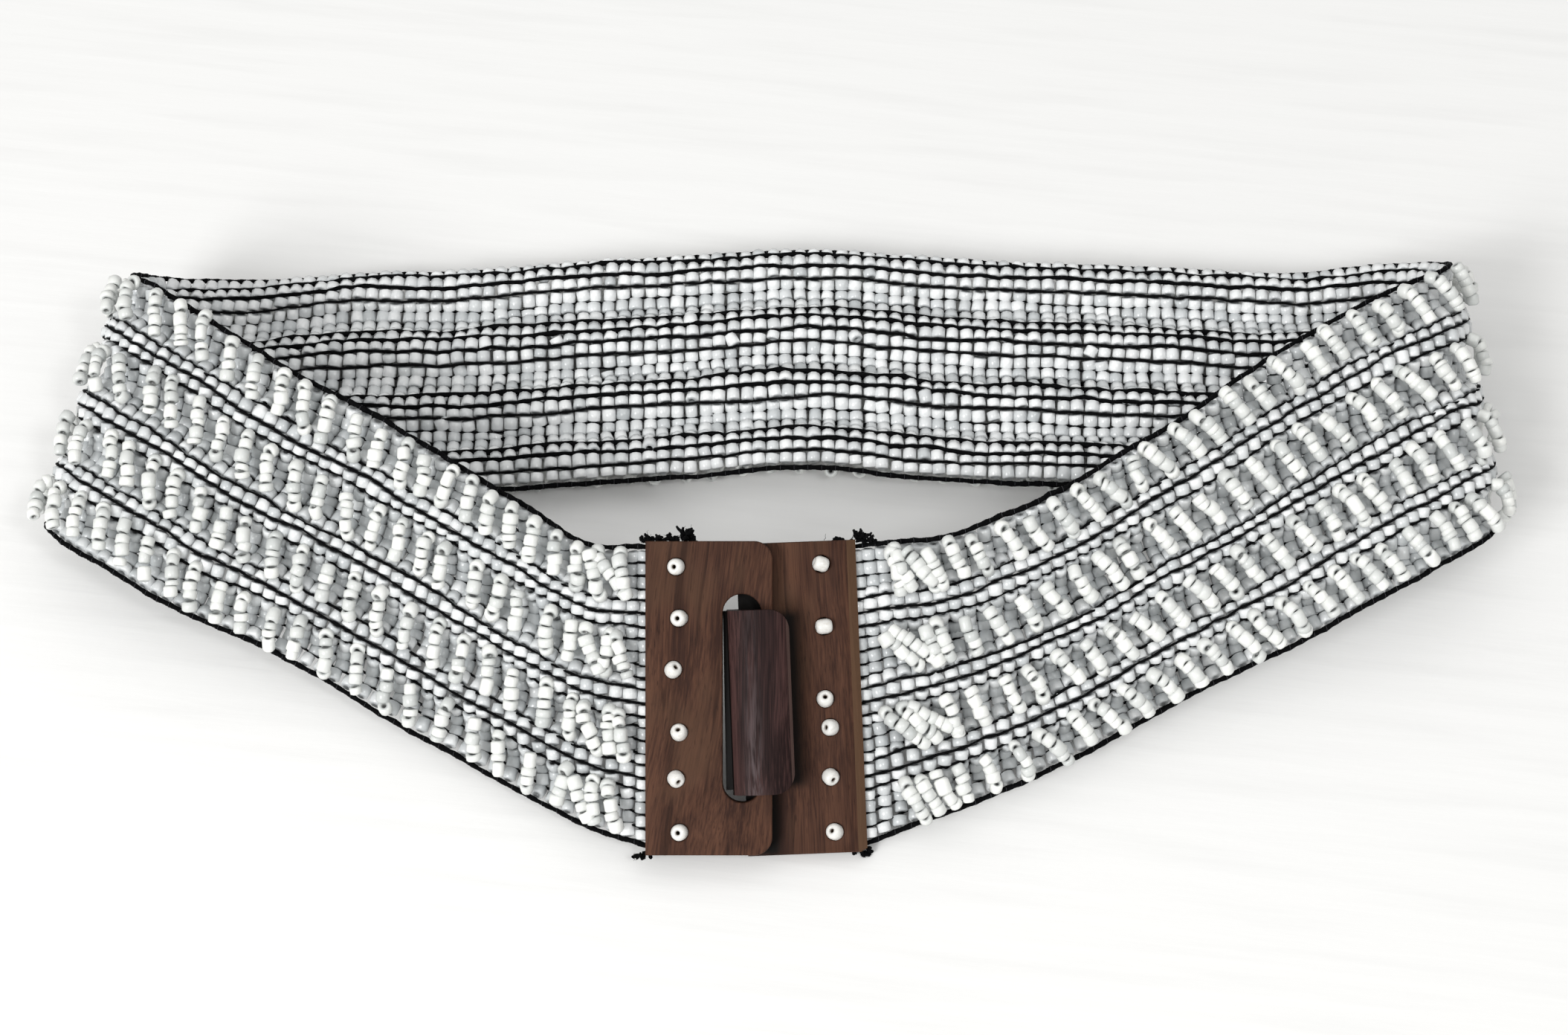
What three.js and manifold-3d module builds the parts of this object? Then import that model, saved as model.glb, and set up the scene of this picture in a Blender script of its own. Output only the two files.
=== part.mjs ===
// A stretch waist belt: a wide bead-woven elastic band in a closed loop,
// fastened in front by a two-part wooden buckle. It lies on a level surface.
// Millimetres, +Z up. X runs along the buckle side, and +Y points to the back.

import * as THREE from 'three';
import { mergeVertices } from 'three/addons/utils/BufferGeometryUtils.js';
import Module from 'manifold-3d';

const wasm = await Module();
wasm.setup();

// Driving dimensions of the band
const rowCount = 23;
const rowPitch = 3.09;
const columnPitch = 3.65;
const wallThickness = 3.3;
const ribHeight = 1.0;
const cordDiameter = 1.8;
const clearGap = 0.3;
const bandWidth = rowCount * rowPitch;

// Driving dimensions of the raised strands
const strandPitch = 2 * columnPitch;
const strandTop = 7.2;
const strandValley = 3.7;
const strandFoot = 2.75;
const strandSlant = THREE.MathUtils.degToRad(27);
const strandTaper = 1.1;
const plainColumns = 3;

// Driving dimensions of the buckle
const plateHeight = 75.7;
const plateThickness = 4.5;
const slottedPlateWidth = 30.6;
const hookPlateWidth = 29.0;
const plateStep = 4.8;
const plateCornerRadius = 4.4;
const hookPlateTurn = THREE.MathUtils.degToRad(2.3);
const buckleTilt = THREE.MathUtils.degToRad(32);
const buckleCentre = new THREE.Vector3(-6.6, -66.8, 24.7);

// Where the origin of the finished part lies, in the frame of the tables below
const footCentre = new THREE.Vector3(-3.255, -9.803, 0.104);

// Sections of the band, from the slotted plate round the back to the hook plate.
// x, y and z place the middle of the band. The line across the band goes from its bottom edge
// to its top edge: heading turns it from +Y towards +X, and rise lifts it from level, in degrees.
// spread is the width there as a share of the full width, which the buckle holds.
const bandSections = [
  { name: 'slotted plate', x: -32.2, y: -66.8, z: 24.7, heading: 0, rise: 32, spread: 1 },
  { name: 'front left', x: -50, y: -60.0, z: 22.8, heading: 4.5, rise: 33, spread: 0.92 },
  { name: 'front left', x: -70, y: -47.9, z: 23.4, heading: 13, rise: 35, spread: 0.905 },
  { name: 'front left', x: -108.3, y: -25.8, z: 26.5, heading: 27, rise: 31, spread: 0.88 },
  { name: 'front left', x: -136.8, y: -10.2, z: 28.8, heading: 25, rise: 24.5, spread: 0.905 },
  { name: 'left fold', x: -159.5, y: 5.2, z: 31, heading: 19.5, rise: 18, spread: 0.95 },
  { name: 'left fold', x: -171, y: 12.6, z: 29.8, heading: 16.8, rise: 15.5, spread: 0.97 },
  { name: 'left fold', x: -178, y: 21, z: 23.5, heading: 14.5, rise: 12.5, spread: 0.97 },
  { name: 'left fold', x: -176, y: 28, z: 15.8, heading: 13.5, rise: 9, spread: 0.97 },
  { name: 'left fold', x: -163, y: 33.3, z: 10.3, heading: 11.5, rise: 4.5, spread: 0.97 },
  { name: 'back', x: -138, y: 35.5, z: 8.1, heading: 6, rise: 0.5, spread: 0.97 },
  { name: 'back', x: -85, y: 39, z: 8.1, heading: 0, rise: 0, spread: 0.97 },
  { name: 'back', x: -32, y: 42.3, z: 8.4, heading: -1, rise: -0.5, spread: 0.98 },
  { name: 'back', x: 2, y: 44.8, z: 9.1, heading: 0, rise: -1.6, spread: 0.98 },
  { name: 'back', x: 35, y: 43.2, z: 8.6, heading: 1, rise: -0.8, spread: 0.98 },
  { name: 'back', x: 89, y: 39, z: 8.1, heading: 2, rise: 0, spread: 0.97 },
  { name: 'back', x: 138, y: 37.5, z: 8.0, heading: 0, rise: 0.3, spread: 0.97 },
  { name: 'right fold', x: 160, y: 36.5, z: 9.9, heading: -2, rise: 3.5, spread: 0.98 },
  { name: 'right fold', x: 171, y: 32.5, z: 14.7, heading: -3.5, rise: 7, spread: 0.99 },
  { name: 'right fold', x: 176.5, y: 25.5, z: 22.5, heading: -4.5, rise: 10.5, spread: 1 },
  { name: 'right fold', x: 173.5, y: 16.5, z: 30.5, heading: -6, rise: 13.5, spread: 1 },
  { name: 'right fold', x: 157, y: 4.5, z: 34.2, heading: -10, rise: 16, spread: 0.99 },
  { name: 'front right', x: 130.5, y: -11.2, z: 32.6, heading: -16, rise: 25, spread: 0.93 },
  { name: 'front right', x: 102.6, y: -27.8, z: 29.5, heading: -19.5, rise: 33, spread: 0.87 },
  { name: 'front right', x: 73, y: -44.7, z: 25.5, heading: -17, rise: 37, spread: 0.86 },
  { name: 'front right', x: 46, y: -57.0, z: 23.0, heading: -10.5, rise: 35, spread: 0.89 },
  { name: 'hook plate', x: 17.5, y: -64.3, z: 20.6, heading: -2.8, rise: 32, spread: 1 },
];

// Ribs across the band, counted in rows from the top edge. Height 1 stands out, -1 lies in.
const bandRibs = [
  { row: 0, height: 0 },
  { row: 2, height: -1 },
  { row: 5, height: 1 },
  { row: 8.5, height: -1 },
  { row: 12, height: 1 },
  { row: 15, height: -1 },
  { row: 18, height: 1 },
  { row: 21, height: -1 },
  { row: 23, height: 0 },
];

// Rows of raised strands: the ground rows that each one spans, counted from the top edge
const raisedRows = [
  { first: 0, last: 4 },
  { first: 6, last: 11 },
  { first: 13, last: 17 },
  { first: 19, last: 23 },
];

// Plug beads on the face of the buckle, in its own frame. Tip leans a bead over, in degrees.
const plugBeads = [
  { plate: 'slotted', x: -19.4, y: 31.7, tip: 0 },
  { plate: 'slotted', x: -18.7, y: 19.3, tip: 0 },
  { plate: 'slotted', x: -20.1, y: 6.9, tip: 12 },
  { plate: 'slotted', x: -18.7, y: -8.2, tip: 0 },
  { plate: 'slotted', x: -19.4, y: -19.4, tip: 12 },
  { plate: 'slotted', x: -18.6, y: -32.3, tip: 0 },
  { plate: 'hook', x: 15.6, y: 32.3, tip: 35 },
  { plate: 'hook', x: 16.3, y: 17.2, tip: 90 },
  { plate: 'hook', x: 16.6, y: -0.4, tip: 0 },
  { plate: 'hook', x: 17.8, y: -7.3, tip: 25 },
  { plate: 'hook', x: 17.9, y: -19.3, tip: 12 },
  { plate: 'hook', x: 18.9, y: -32.6, tip: 12 },
];

// Materials
const groundBead = new THREE.MeshStandardMaterial({ color: 0xd9dce2, roughness: 0.28, metalness: 0 });
const strandBead = new THREE.MeshStandardMaterial({ color: 0xe8ebe5, roughness: 0.22, metalness: 0 });
const elastic = new THREE.MeshStandardMaterial({ color: 0x0e0e11, roughness: 0.85, metalness: 0 });
const plateWood = new THREE.MeshStandardMaterial({ color: 0x54342a, roughness: 0.5, metalness: 0 });
const hookWood = new THREE.MeshStandardMaterial({ color: 0x46302c, roughness: 0.42, metalness: 0 });

// The band's middle line is a smooth curve through the sections, measured along their chords
const sectionColumns = ['x', 'y', 'z', 'heading', 'rise', 'spread'];
const sectionStart = [0];
for (let i = 1; i < bandSections.length; i += 1) {
  const before = bandSections[i - 1];
  const here = bandSections[i];
  const chord = Math.hypot(here.x - before.x, here.y - before.y, here.z - before.z);
  sectionStart.push(sectionStart[i - 1] + chord);
}
const bandLength = sectionStart[sectionStart.length - 1];

function slopeBetween(column, i) {
  const rise = bandSections[i + 1][column] - bandSections[i][column];
  return rise / (sectionStart[i + 1] - sectionStart[i]);
}

function slopeAt(column, i) {
  if (i === 0) {
    return slopeBetween(column, 0);
  }
  if (i === bandSections.length - 1) {
    return slopeBetween(column, i - 1);
  }
  const spanBefore = sectionStart[i] - sectionStart[i - 1];
  const spanAfter = sectionStart[i + 1] - sectionStart[i];
  const weighted = slopeBetween(column, i - 1) * spanAfter + slopeBetween(column, i) * spanBefore;
  return weighted / (spanBefore + spanAfter);
}

function sectionAt(along) {
  let i = 0;
  while (i < bandSections.length - 2 && along > sectionStart[i + 1]) {
    i += 1;
  }
  const span = sectionStart[i + 1] - sectionStart[i];
  const t = (along - sectionStart[i]) / span;
  const keepStart = 1 - t * t * (3 - 2 * t);
  const leaveStart = t * (1 - t) * (1 - t) * span;
  const reachEnd = t * t * (t - 1) * span;
  const section = {};
  for (const column of sectionColumns) {
    const start = bandSections[i][column] * keepStart;
    const end = bandSections[i + 1][column] * (1 - keepStart);
    const bend = slopeAt(column, i) * leaveStart + slopeAt(column, i + 1) * reachEnd;
    section[column] = start + end + bend;
  }
  return section;
}

function middleAt(along) {
  const section = sectionAt(along);
  return new THREE.Vector3(section.x, section.y, section.z);
}

function directionAt(along) {
  const reach = 2;
  return middleAt(along + reach).sub(middleAt(along - reach)).normalize();
}

// A point of the band: across counts from the middle towards the top edge, out from the middle
// of the wall towards the outer face
function bandPoint(along, across, out) {
  const section = sectionAt(along);
  const heading = THREE.MathUtils.degToRad(section.heading);
  const rise = THREE.MathUtils.degToRad(section.rise);
  const acrossLine = new THREE.Vector3(
    Math.sin(heading) * Math.cos(rise),
    Math.cos(heading) * Math.cos(rise),
    Math.sin(rise),
  );
  const outward = acrossLine.clone().cross(directionAt(along)).normalize();
  const point = new THREE.Vector3(section.x, section.y, section.z);
  point.addScaledVector(acrossLine, across * section.spread);
  return point.addScaledVector(outward, out);
}

// Stations along the band: close together in the folds, further apart where it runs straight
function bandStations(from, to) {
  const longestStep = 5 * columnPitch;
  const largestTurn = THREE.MathUtils.degToRad(11);
  const stations = [from];
  let lastDirection = directionAt(from);
  for (let along = from + 1; along < to - 2; along += 1) {
    const direction = directionAt(along);
    const step = along - stations[stations.length - 1];
    if (step >= longestStep || direction.angleTo(lastDirection) >= largestTurn) {
      stations.push(along);
      lastDirection = direction;
    }
  }
  stations.push(to);
  return stations;
}

// A closed body through rings of points. Every ring has the same number of points, listed
// from the top edge over the outer face to the bottom edge and back along the inner face.
function ringBody(rings, capOutline) {
  const pointCount = capOutline.length;
  const positions = rings.flat().flatMap((point) => point.toArray());
  const triangles = [];
  for (let r = 0; r < rings.length - 1; r += 1) {
    for (let p = 0; p < pointCount; p += 1) {
      const here = r * pointCount + p;
      const next = r * pointCount + ((p + 1) % pointCount);
      triangles.push(here, next + pointCount, next);
      triangles.push(here, here + pointCount, next + pointCount);
    }
  }
  const lastRing = (rings.length - 1) * pointCount;
  for (const face of THREE.ShapeUtils.triangulateShape(capOutline, [])) {
    const [a, b, c] = face.sort((m, n) => m - n);
    triangles.push(a, b, c);
    triangles.push(lastRing + a, lastRing + c, lastRing + b);
  }
  const geometry = new THREE.BufferGeometry();
  geometry.setAttribute('position', new THREE.Float32BufferAttribute(positions, 3));
  geometry.setIndex(triangles);
  geometry.computeVertexNormals();
  return geometry;
}

function sweepProfile(profile, stations, profileAt) {
  const rings = stations.map((along, index) => profileAt(along, index));
  return ringBody(rings, profile);
}

function namedMesh(name, geometry, material) {
  const mesh = new THREE.Mesh(geometry, material);
  mesh.name = name;
  return mesh;
}

function acrossOfRow(row) {
  return bandWidth / 2 - row * rowPitch;
}

// The ribs die out where the band goes flat into the buckle
function ribShare(along) {
  const fadeLength = 14;
  const nearestEnd = Math.min(along, bandLength - along);
  return THREE.MathUtils.smoothstep(nearestEnd, 0, fadeLength);
}

// Woven band
function wovenBand() {
  const outerFace = bandRibs.map((rib) => ({ row: rib.row, height: rib.height, side: 1 }));
  const innerFace = bandRibs.map((rib) => ({ row: rib.row, height: rib.height, side: -1 }));
  const outline = [...outerFace, ...innerFace.reverse()];
  const half = wallThickness / 2;
  const profile = outline.map(({ row, height, side }) => (
    new THREE.Vector2(-acrossOfRow(row), side * half + height * ribHeight)
  ));
  const ringAt = (along) => outline.map(({ row, height, side }) => (
    bandPoint(along, acrossOfRow(row), side * half + height * ribHeight * ribShare(along))
  ));
  return sweepProfile(profile, bandStations(0, bandLength), ringAt);
}

// Raised row: a field of slanted strands that cross over the band, as one ridged body
function raisedRow({ first, last }) {
  const top = acrossOfRow(first) - clearGap;
  const bottom = acrossOfRow(last) + clearGap;
  const centre = (top + bottom) / 2;
  const start = plainColumns * columnPitch;
  const strandCount = Math.floor((bandLength - 2 * start) / strandPitch);
  const stations = [];
  for (let half = 0; half <= 2 * strandCount; half += 1) {
    stations.push(start + (half * strandPitch) / 2);
  }
  const corners = [
    { across: top, lifted: false },
    { across: top - strandTaper, lifted: true },
    { across: bottom + strandTaper, lifted: true },
    { across: bottom, lifted: false },
  ];
  const profile = corners.map(({ across, lifted }) => (
    new THREE.Vector2(-across, lifted ? strandTop : strandFoot)
  ));
  const ringAt = (along, index) => {
    const crest = index % 2 === 1 ? strandTop : strandValley;
    return corners.map(({ across, lifted }) => {
      const slanted = along + Math.tan(strandSlant) * (across - centre);
      return bandPoint(slanted, across, lifted ? crest : strandFoot);
    });
  };
  return sweepProfile(profile, stations, ringAt);
}

// Edge cord: the thick wrapped elastic along one edge
function edgeCord(side) {
  const sides = 5;
  const radius = cordDiameter / 2;
  const centre = side * (bandWidth / 2 + clearGap + radius);
  const corners = [];
  for (let i = 0; i < sides; i += 1) {
    const angle = (2 * Math.PI * i) / sides;
    corners.push({ across: radius * Math.cos(angle), out: radius * Math.sin(angle) });
  }
  const profile = corners.map(({ across, out }) => new THREE.Vector2(-across, out));
  const ringAt = (along) => corners.map(({ across, out }) => (
    bandPoint(along, centre + across, out)
  ));
  return sweepProfile(profile, bandStations(0, bandLength), ringAt);
}

// Joining and cutting of closed bodies
function toSolid(geometry) {
  const bare = geometry.clone();
  bare.deleteAttribute('normal');
  bare.deleteAttribute('uv');
  const merged = mergeVertices(bare);
  return new wasm.Manifold(new wasm.Mesh({
    numProp: 3,
    vertProperties: new Float32Array(merged.attributes.position.array),
    triVerts: new Uint32Array(merged.index.array),
  }));
}

function fromSolid(solid) {
  const mesh = solid.getMesh();
  const geometry = new THREE.BufferGeometry();
  geometry.setAttribute('position', new THREE.BufferAttribute(mesh.vertProperties, 3));
  geometry.setIndex(new THREE.BufferAttribute(mesh.triVerts, 1));
  return geometry;
}

function extrudeUp(shape, bottom, top, curveSegments = 6) {
  const depth = top - bottom;
  const geometry = new THREE.ExtrudeGeometry(shape, { depth, bevelEnabled: false, curveSegments });
  return geometry.translate(0, 0, bottom);
}

function blockBetween(low, high) {
  const size = new THREE.Vector3().subVectors(high, low);
  const middle = new THREE.Vector3().addVectors(low, high).multiplyScalar(0.5);
  const block = new THREE.BoxGeometry(size.x, size.y, size.z);
  return block.translate(middle.x, middle.y, middle.z);
}

function roundPeg(x, y, diameter, bottom, top) {
  const sides = 12;
  const peg = new THREE.CylinderGeometry(diameter / 2, diameter / 2, top - bottom, sides);
  return peg.rotateX(Math.PI / 2).translate(x, y, (top + bottom) / 2);
}

// Buckle sizes that both plates share. Heights are counted from the underside of the slotted plate.
const beadHole = 4.8;
const plugDiameter = 4.1;
const pegDiameter = 3.2;
const rebateWidth = 10.2;
const rebateRoof = 2.0;
const tieThickness = 1.4;
const slottedLeft = -26.8;
const slottedRight = slottedLeft + slottedPlateWidth;
const hookPlateBottom = -plateStep;
const hookPlateTop = hookPlateBottom + plateThickness;
const hookPlateMiddle = new THREE.Vector2(10.9, -0.2);
const slot = { left: -8.2, right: 1.2, top: 25.1, bottom: -25.1 };
const hook = { left: -17.4, right: -2.4, neckRight: -11.6, top: 22.0, bottom: -22.3, crown: 9.6 };
const hookLip = { seatGap: 0.4, edge: 2.4, roundIn: 1.4, roundDrop: 0.5, flatStart: 6, shoulder: 0.6 };
const hookTipRadius = 5;
const bandTuck = 1.2;
const tieMargin = 1.5;
const pegShort = 2.0;

// The hook plate is turned in the plane of the buckle, so its plug beads are brought into its frame
function inHookFrame({ x, y }) {
  const offset = new THREE.Vector2(x - hookPlateMiddle.x, y - hookPlateMiddle.y);
  return offset.rotateAround(new THREE.Vector2(0, 0), -hookPlateTurn);
}

const slottedHoles = plugBeads.filter((bead) => bead.plate === 'slotted');
const hookHoles = plugBeads.filter((bead) => bead.plate === 'hook').map(inHookFrame);

// How far a cutting body runs past the body that it cuts
const spare = 1;

function drill(solid, holes, bottom, top) {
  let drilled = solid;
  for (const { x, y } of holes) {
    drilled = drilled.subtract(toSolid(roundPeg(x, y, beadHole, bottom - spare, top + spare)));
  }
  return drilled;
}

// Slotted plate: square on the band side, round corners on the other, a long slot beside them
function slottedPlate() {
  const half = plateHeight / 2;
  const outline = new THREE.Shape();
  outline.moveTo(slottedLeft, -half);
  outline.lineTo(slottedRight - plateCornerRadius, -half);
  outline.absarc(
    slottedRight - plateCornerRadius, -half + plateCornerRadius, plateCornerRadius, -Math.PI / 2, 0,
  );
  outline.absarc(
    slottedRight - plateCornerRadius, half - plateCornerRadius, plateCornerRadius, 0, Math.PI / 2,
  );
  outline.lineTo(slottedLeft, half);
  const slotRadius = (slot.right - slot.left) / 2;
  const slotMiddle = (slot.right + slot.left) / 2;
  const cut = new THREE.Path();
  cut.absarc(slotMiddle, slot.top - slotRadius, slotRadius, 0, Math.PI);
  cut.absarc(slotMiddle, slot.bottom + slotRadius, slotRadius, Math.PI, 2 * Math.PI);
  outline.holes.push(cut);
  const rebate = blockBetween(
    new THREE.Vector3(slottedLeft - spare, -half - spare, -spare),
    new THREE.Vector3(slottedLeft + rebateWidth, half + spare, rebateRoof),
  );
  const plate = toSolid(extrudeUp(outline, 0, plateThickness)).subtract(toSolid(rebate));
  return fromSolid(drill(plate, slottedHoles, 0, plateThickness));
}

// Hook: rises through the slot and folds over towards the hook plate's outer edge
function hookBody() {
  const seat = plateThickness + hookLip.seatGap;
  const roundTop = hook.crown - hookLip.roundDrop;
  const profile = new THREE.Shape();
  profile.moveTo(hook.left, hookPlateBottom);
  profile.lineTo(hook.neckRight, hookPlateBottom);
  profile.lineTo(hook.neckRight, seat);
  profile.lineTo(hook.right, seat);
  profile.lineTo(hook.right, seat + hookLip.edge);
  profile.quadraticCurveTo(
    hook.right - hookLip.roundIn, roundTop, hook.right - hookLip.flatStart, hook.crown,
  );
  profile.quadraticCurveTo(hook.left + hookLip.shoulder, hook.crown, hook.left, seat);
  profile.closePath();
  const height = hook.top - hook.bottom;
  const bar = new THREE.ExtrudeGeometry(profile, {
    depth: height, bevelEnabled: false, curveSegments: 5,
  });
  bar.rotateX(Math.PI / 2).translate(0, hook.top, 0);
  const arcX = hook.right - hookTipRadius;
  const arcTop = hook.top - hookTipRadius;
  const arcBottom = hook.bottom + hookTipRadius;
  const plan = new THREE.Shape();
  plan.moveTo(hook.left - spare, hook.bottom - spare);
  plan.lineTo(hook.left - spare, hook.top + spare);
  plan.lineTo(arcX, hook.top + spare);
  plan.lineTo(arcX, hook.top);
  plan.absarc(arcX, arcTop, hookTipRadius, Math.PI / 2, 0, true);
  plan.absarc(arcX, arcBottom, hookTipRadius, 0, -Math.PI / 2, true);
  plan.lineTo(arcX, hook.bottom - spare);
  const tip = toSolid(extrudeUp(plan, hookPlateBottom - spare, hook.crown + spare));
  return toSolid(bar).intersect(tip);
}

// Hook plate, in its own frame: bevelled along its outer edge, with the hook along its inner edge
function hookPlate() {
  const halfWidth = hookPlateWidth / 2;
  const halfHeight = plateHeight / 2;
  const bevelWidth = 2.2;
  const bevelDrop = 1.6;
  const cornerCut = 1.6;
  const outline = new THREE.Shape();
  outline.moveTo(-halfWidth, -halfHeight);
  outline.lineTo(halfWidth - cornerCut, -halfHeight);
  outline.lineTo(halfWidth, -halfHeight + cornerCut / 2);
  outline.lineTo(halfWidth, halfHeight);
  outline.lineTo(-halfWidth, halfHeight);
  const bevel = new THREE.Shape();
  bevel.moveTo(halfWidth - bevelWidth, hookPlateTop);
  bevel.lineTo(halfWidth, hookPlateTop - bevelDrop);
  bevel.lineTo(halfWidth + spare, hookPlateTop - bevelDrop);
  bevel.lineTo(halfWidth + spare, hookPlateTop + spare);
  bevel.lineTo(halfWidth - bevelWidth, hookPlateTop + spare);
  const bevelBar = new THREE.ExtrudeGeometry(bevel, {
    depth: plateHeight + 2 * spare, bevelEnabled: false,
  });
  bevelBar.rotateX(Math.PI / 2).translate(0, halfHeight + spare, 0);
  const rebate = blockBetween(
    new THREE.Vector3(halfWidth - rebateWidth, -halfHeight - spare, hookPlateBottom - spare),
    new THREE.Vector3(halfWidth + spare, halfHeight + spare, hookPlateBottom + rebateRoof),
  );
  let plate = toSolid(extrudeUp(outline, hookPlateBottom, hookPlateTop));
  plate = plate.subtract(toSolid(bevelBar)).subtract(toSolid(rebate));
  plate = drill(plate, hookHoles, hookPlateBottom, hookPlateTop);
  return fromSolid(plate.add(hookBody()));
}

// Cord ends: the hidden ends of the elastics under a plate, gathered into one strip,
// with a peg up each hole to the plug bead that holds it
function cordEnds(left, right, holes, underside) {
  const roof = underside + rebateRoof - clearGap;
  const half = plateHeight / 2 - tieMargin;
  const strip = blockBetween(
    new THREE.Vector3(left, -half, roof - tieThickness),
    new THREE.Vector3(right, half, roof),
  );
  const pegTop = underside + plateThickness - pegShort;
  let solid = toSolid(strip);
  for (const { x, y } of holes) {
    solid = solid.add(toSolid(roundPeg(x, y, pegDiameter, roof - tieThickness / 2, pegTop)));
  }
  return fromSolid(solid);
}

// Plug bead: a short barrel with a dimple where its hole is. One lies on its side and is smaller.
const uprightBead = { radius: plugDiameter / 2, length: 2.8, lift: 0.15 };
const lyingBead = { radius: 1.7, length: 3.0, lift: 0.55 };
const lyingTip = 60;

function beadSizes(tip) {
  return tip > lyingTip ? lyingBead : uprightBead;
}

function plugBead(tip) {
  const { radius, length } = beadSizes(tip);
  const endShare = 0.74;
  const dimpleShare = 0.3;
  const sides = 8;
  const profile = [
    new THREE.Vector2(0, -length / 2),
    new THREE.Vector2(radius * endShare, -length / 2),
    new THREE.Vector2(radius, -length / 6),
    new THREE.Vector2(radius, length / 6),
    new THREE.Vector2(radius * endShare, length / 2),
    new THREE.Vector2(radius * dimpleShare, length * 0.42),
    new THREE.Vector2(0, length * 0.15),
  ];
  return new THREE.LatheGeometry(profile, sides).rotateX(Math.PI / 2);
}

// Assembly
const belt = new THREE.Group();
belt.position.copy(footCentre).negate();

belt.add(namedMesh('woven_band', wovenBand(), groundBead));
raisedRows.forEach((row, index) => {
  belt.add(namedMesh(`raised_row_${index + 1}`, raisedRow(row), strandBead));
});
belt.add(namedMesh('edge_cord_top', edgeCord(1), elastic));
belt.add(namedMesh('edge_cord_bottom', edgeCord(-1), elastic));

const buckle = new THREE.Group();
buckle.position.copy(buckleCentre);
buckle.rotation.x = buckleTilt;
belt.add(buckle);

const hookSide = new THREE.Group();
hookSide.position.set(hookPlateMiddle.x, hookPlateMiddle.y, 0);
hookSide.rotation.z = hookPlateTurn;
buckle.add(hookSide);

buckle.add(namedMesh('plate_slotted', slottedPlate(), plateWood));
hookSide.add(namedMesh('plate_hook', hookPlate(), hookWood));

const tieLeft = slottedLeft + bandTuck + clearGap;
const tieLeftEnd = slottedLeft + rebateWidth - clearGap;
buckle.add(namedMesh('cord_ends_left', cordEnds(tieLeft, tieLeftEnd, slottedHoles, 0), elastic));
const tieRight = hookPlateWidth / 2 - rebateWidth + clearGap;
const tieRightEnd = hookPlateWidth / 2 - bandTuck - clearGap;
const hookCordEnds = cordEnds(tieRight, tieRightEnd, hookHoles, hookPlateBottom);
hookSide.add(namedMesh('cord_ends_right', hookCordEnds, elastic));

plugBeads.forEach(({ plate, x, y, tip }, index) => {
  const bead = namedMesh(`plug_bead_${index + 1}`, plugBead(tip), strandBead);
  const face = plate === 'slotted' ? plateThickness : hookPlateTop;
  const place = plate === 'slotted' ? { x, y } : inHookFrame({ x, y });
  bead.position.set(place.x, place.y, face + beadSizes(tip).lift);
  bead.rotation.set(0, THREE.MathUtils.degToRad(tip), 0);
  (plate === 'slotted' ? buckle : hookSide).add(bead);
});

export default belt;
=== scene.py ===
"""A bead-woven stretch belt with a wooden hook-and-slot buckle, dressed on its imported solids.

All lengths are in metres. The band is described by three numbers: along counts from the slotted
plate round the back to the hook plate, across counts from the middle to the top edge, and out
counts from the middle of the wall to the outer face.
"""

import math

import bmesh
import bpy
import numpy as np
from bpy.props import FloatProperty, FloatVectorProperty, IntProperty, PointerProperty
from mathutils import Matrix, Vector


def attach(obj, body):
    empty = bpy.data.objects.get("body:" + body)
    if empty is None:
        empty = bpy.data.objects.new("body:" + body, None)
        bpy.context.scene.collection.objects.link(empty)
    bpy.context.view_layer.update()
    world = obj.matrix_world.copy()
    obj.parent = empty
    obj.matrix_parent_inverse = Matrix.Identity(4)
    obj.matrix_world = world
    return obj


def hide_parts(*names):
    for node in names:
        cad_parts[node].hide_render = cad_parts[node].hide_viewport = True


bl_info = {
    "name": "Bead-woven stretch belt",
    "version": (1, 0, 0),
    "blender": (4, 5, 0),
    "location": "3D View > Sidebar > Belt",
    "description": "Seed beads, elastics and a wooden buckle on the packed belt",
    "category": "Object",
}

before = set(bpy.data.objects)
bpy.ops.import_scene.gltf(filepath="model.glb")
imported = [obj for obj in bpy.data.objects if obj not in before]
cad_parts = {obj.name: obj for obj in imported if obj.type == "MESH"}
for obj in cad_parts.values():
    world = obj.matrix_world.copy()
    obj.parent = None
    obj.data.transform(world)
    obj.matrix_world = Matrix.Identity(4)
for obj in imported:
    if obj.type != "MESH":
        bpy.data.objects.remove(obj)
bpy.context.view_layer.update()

# Sizes of the band, as in the part's source
ROWS = 23
ROW_PITCH = 0.00309
COLUMN_PITCH = 0.00365
BAND_WIDTH = ROWS * ROW_PITCH
CLEAR_GAP = 0.0003

# Where the origin lies in the frame of the section table
FOOT_CENTRE = np.array([-0.003255, -0.009803, 0.000104])

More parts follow.
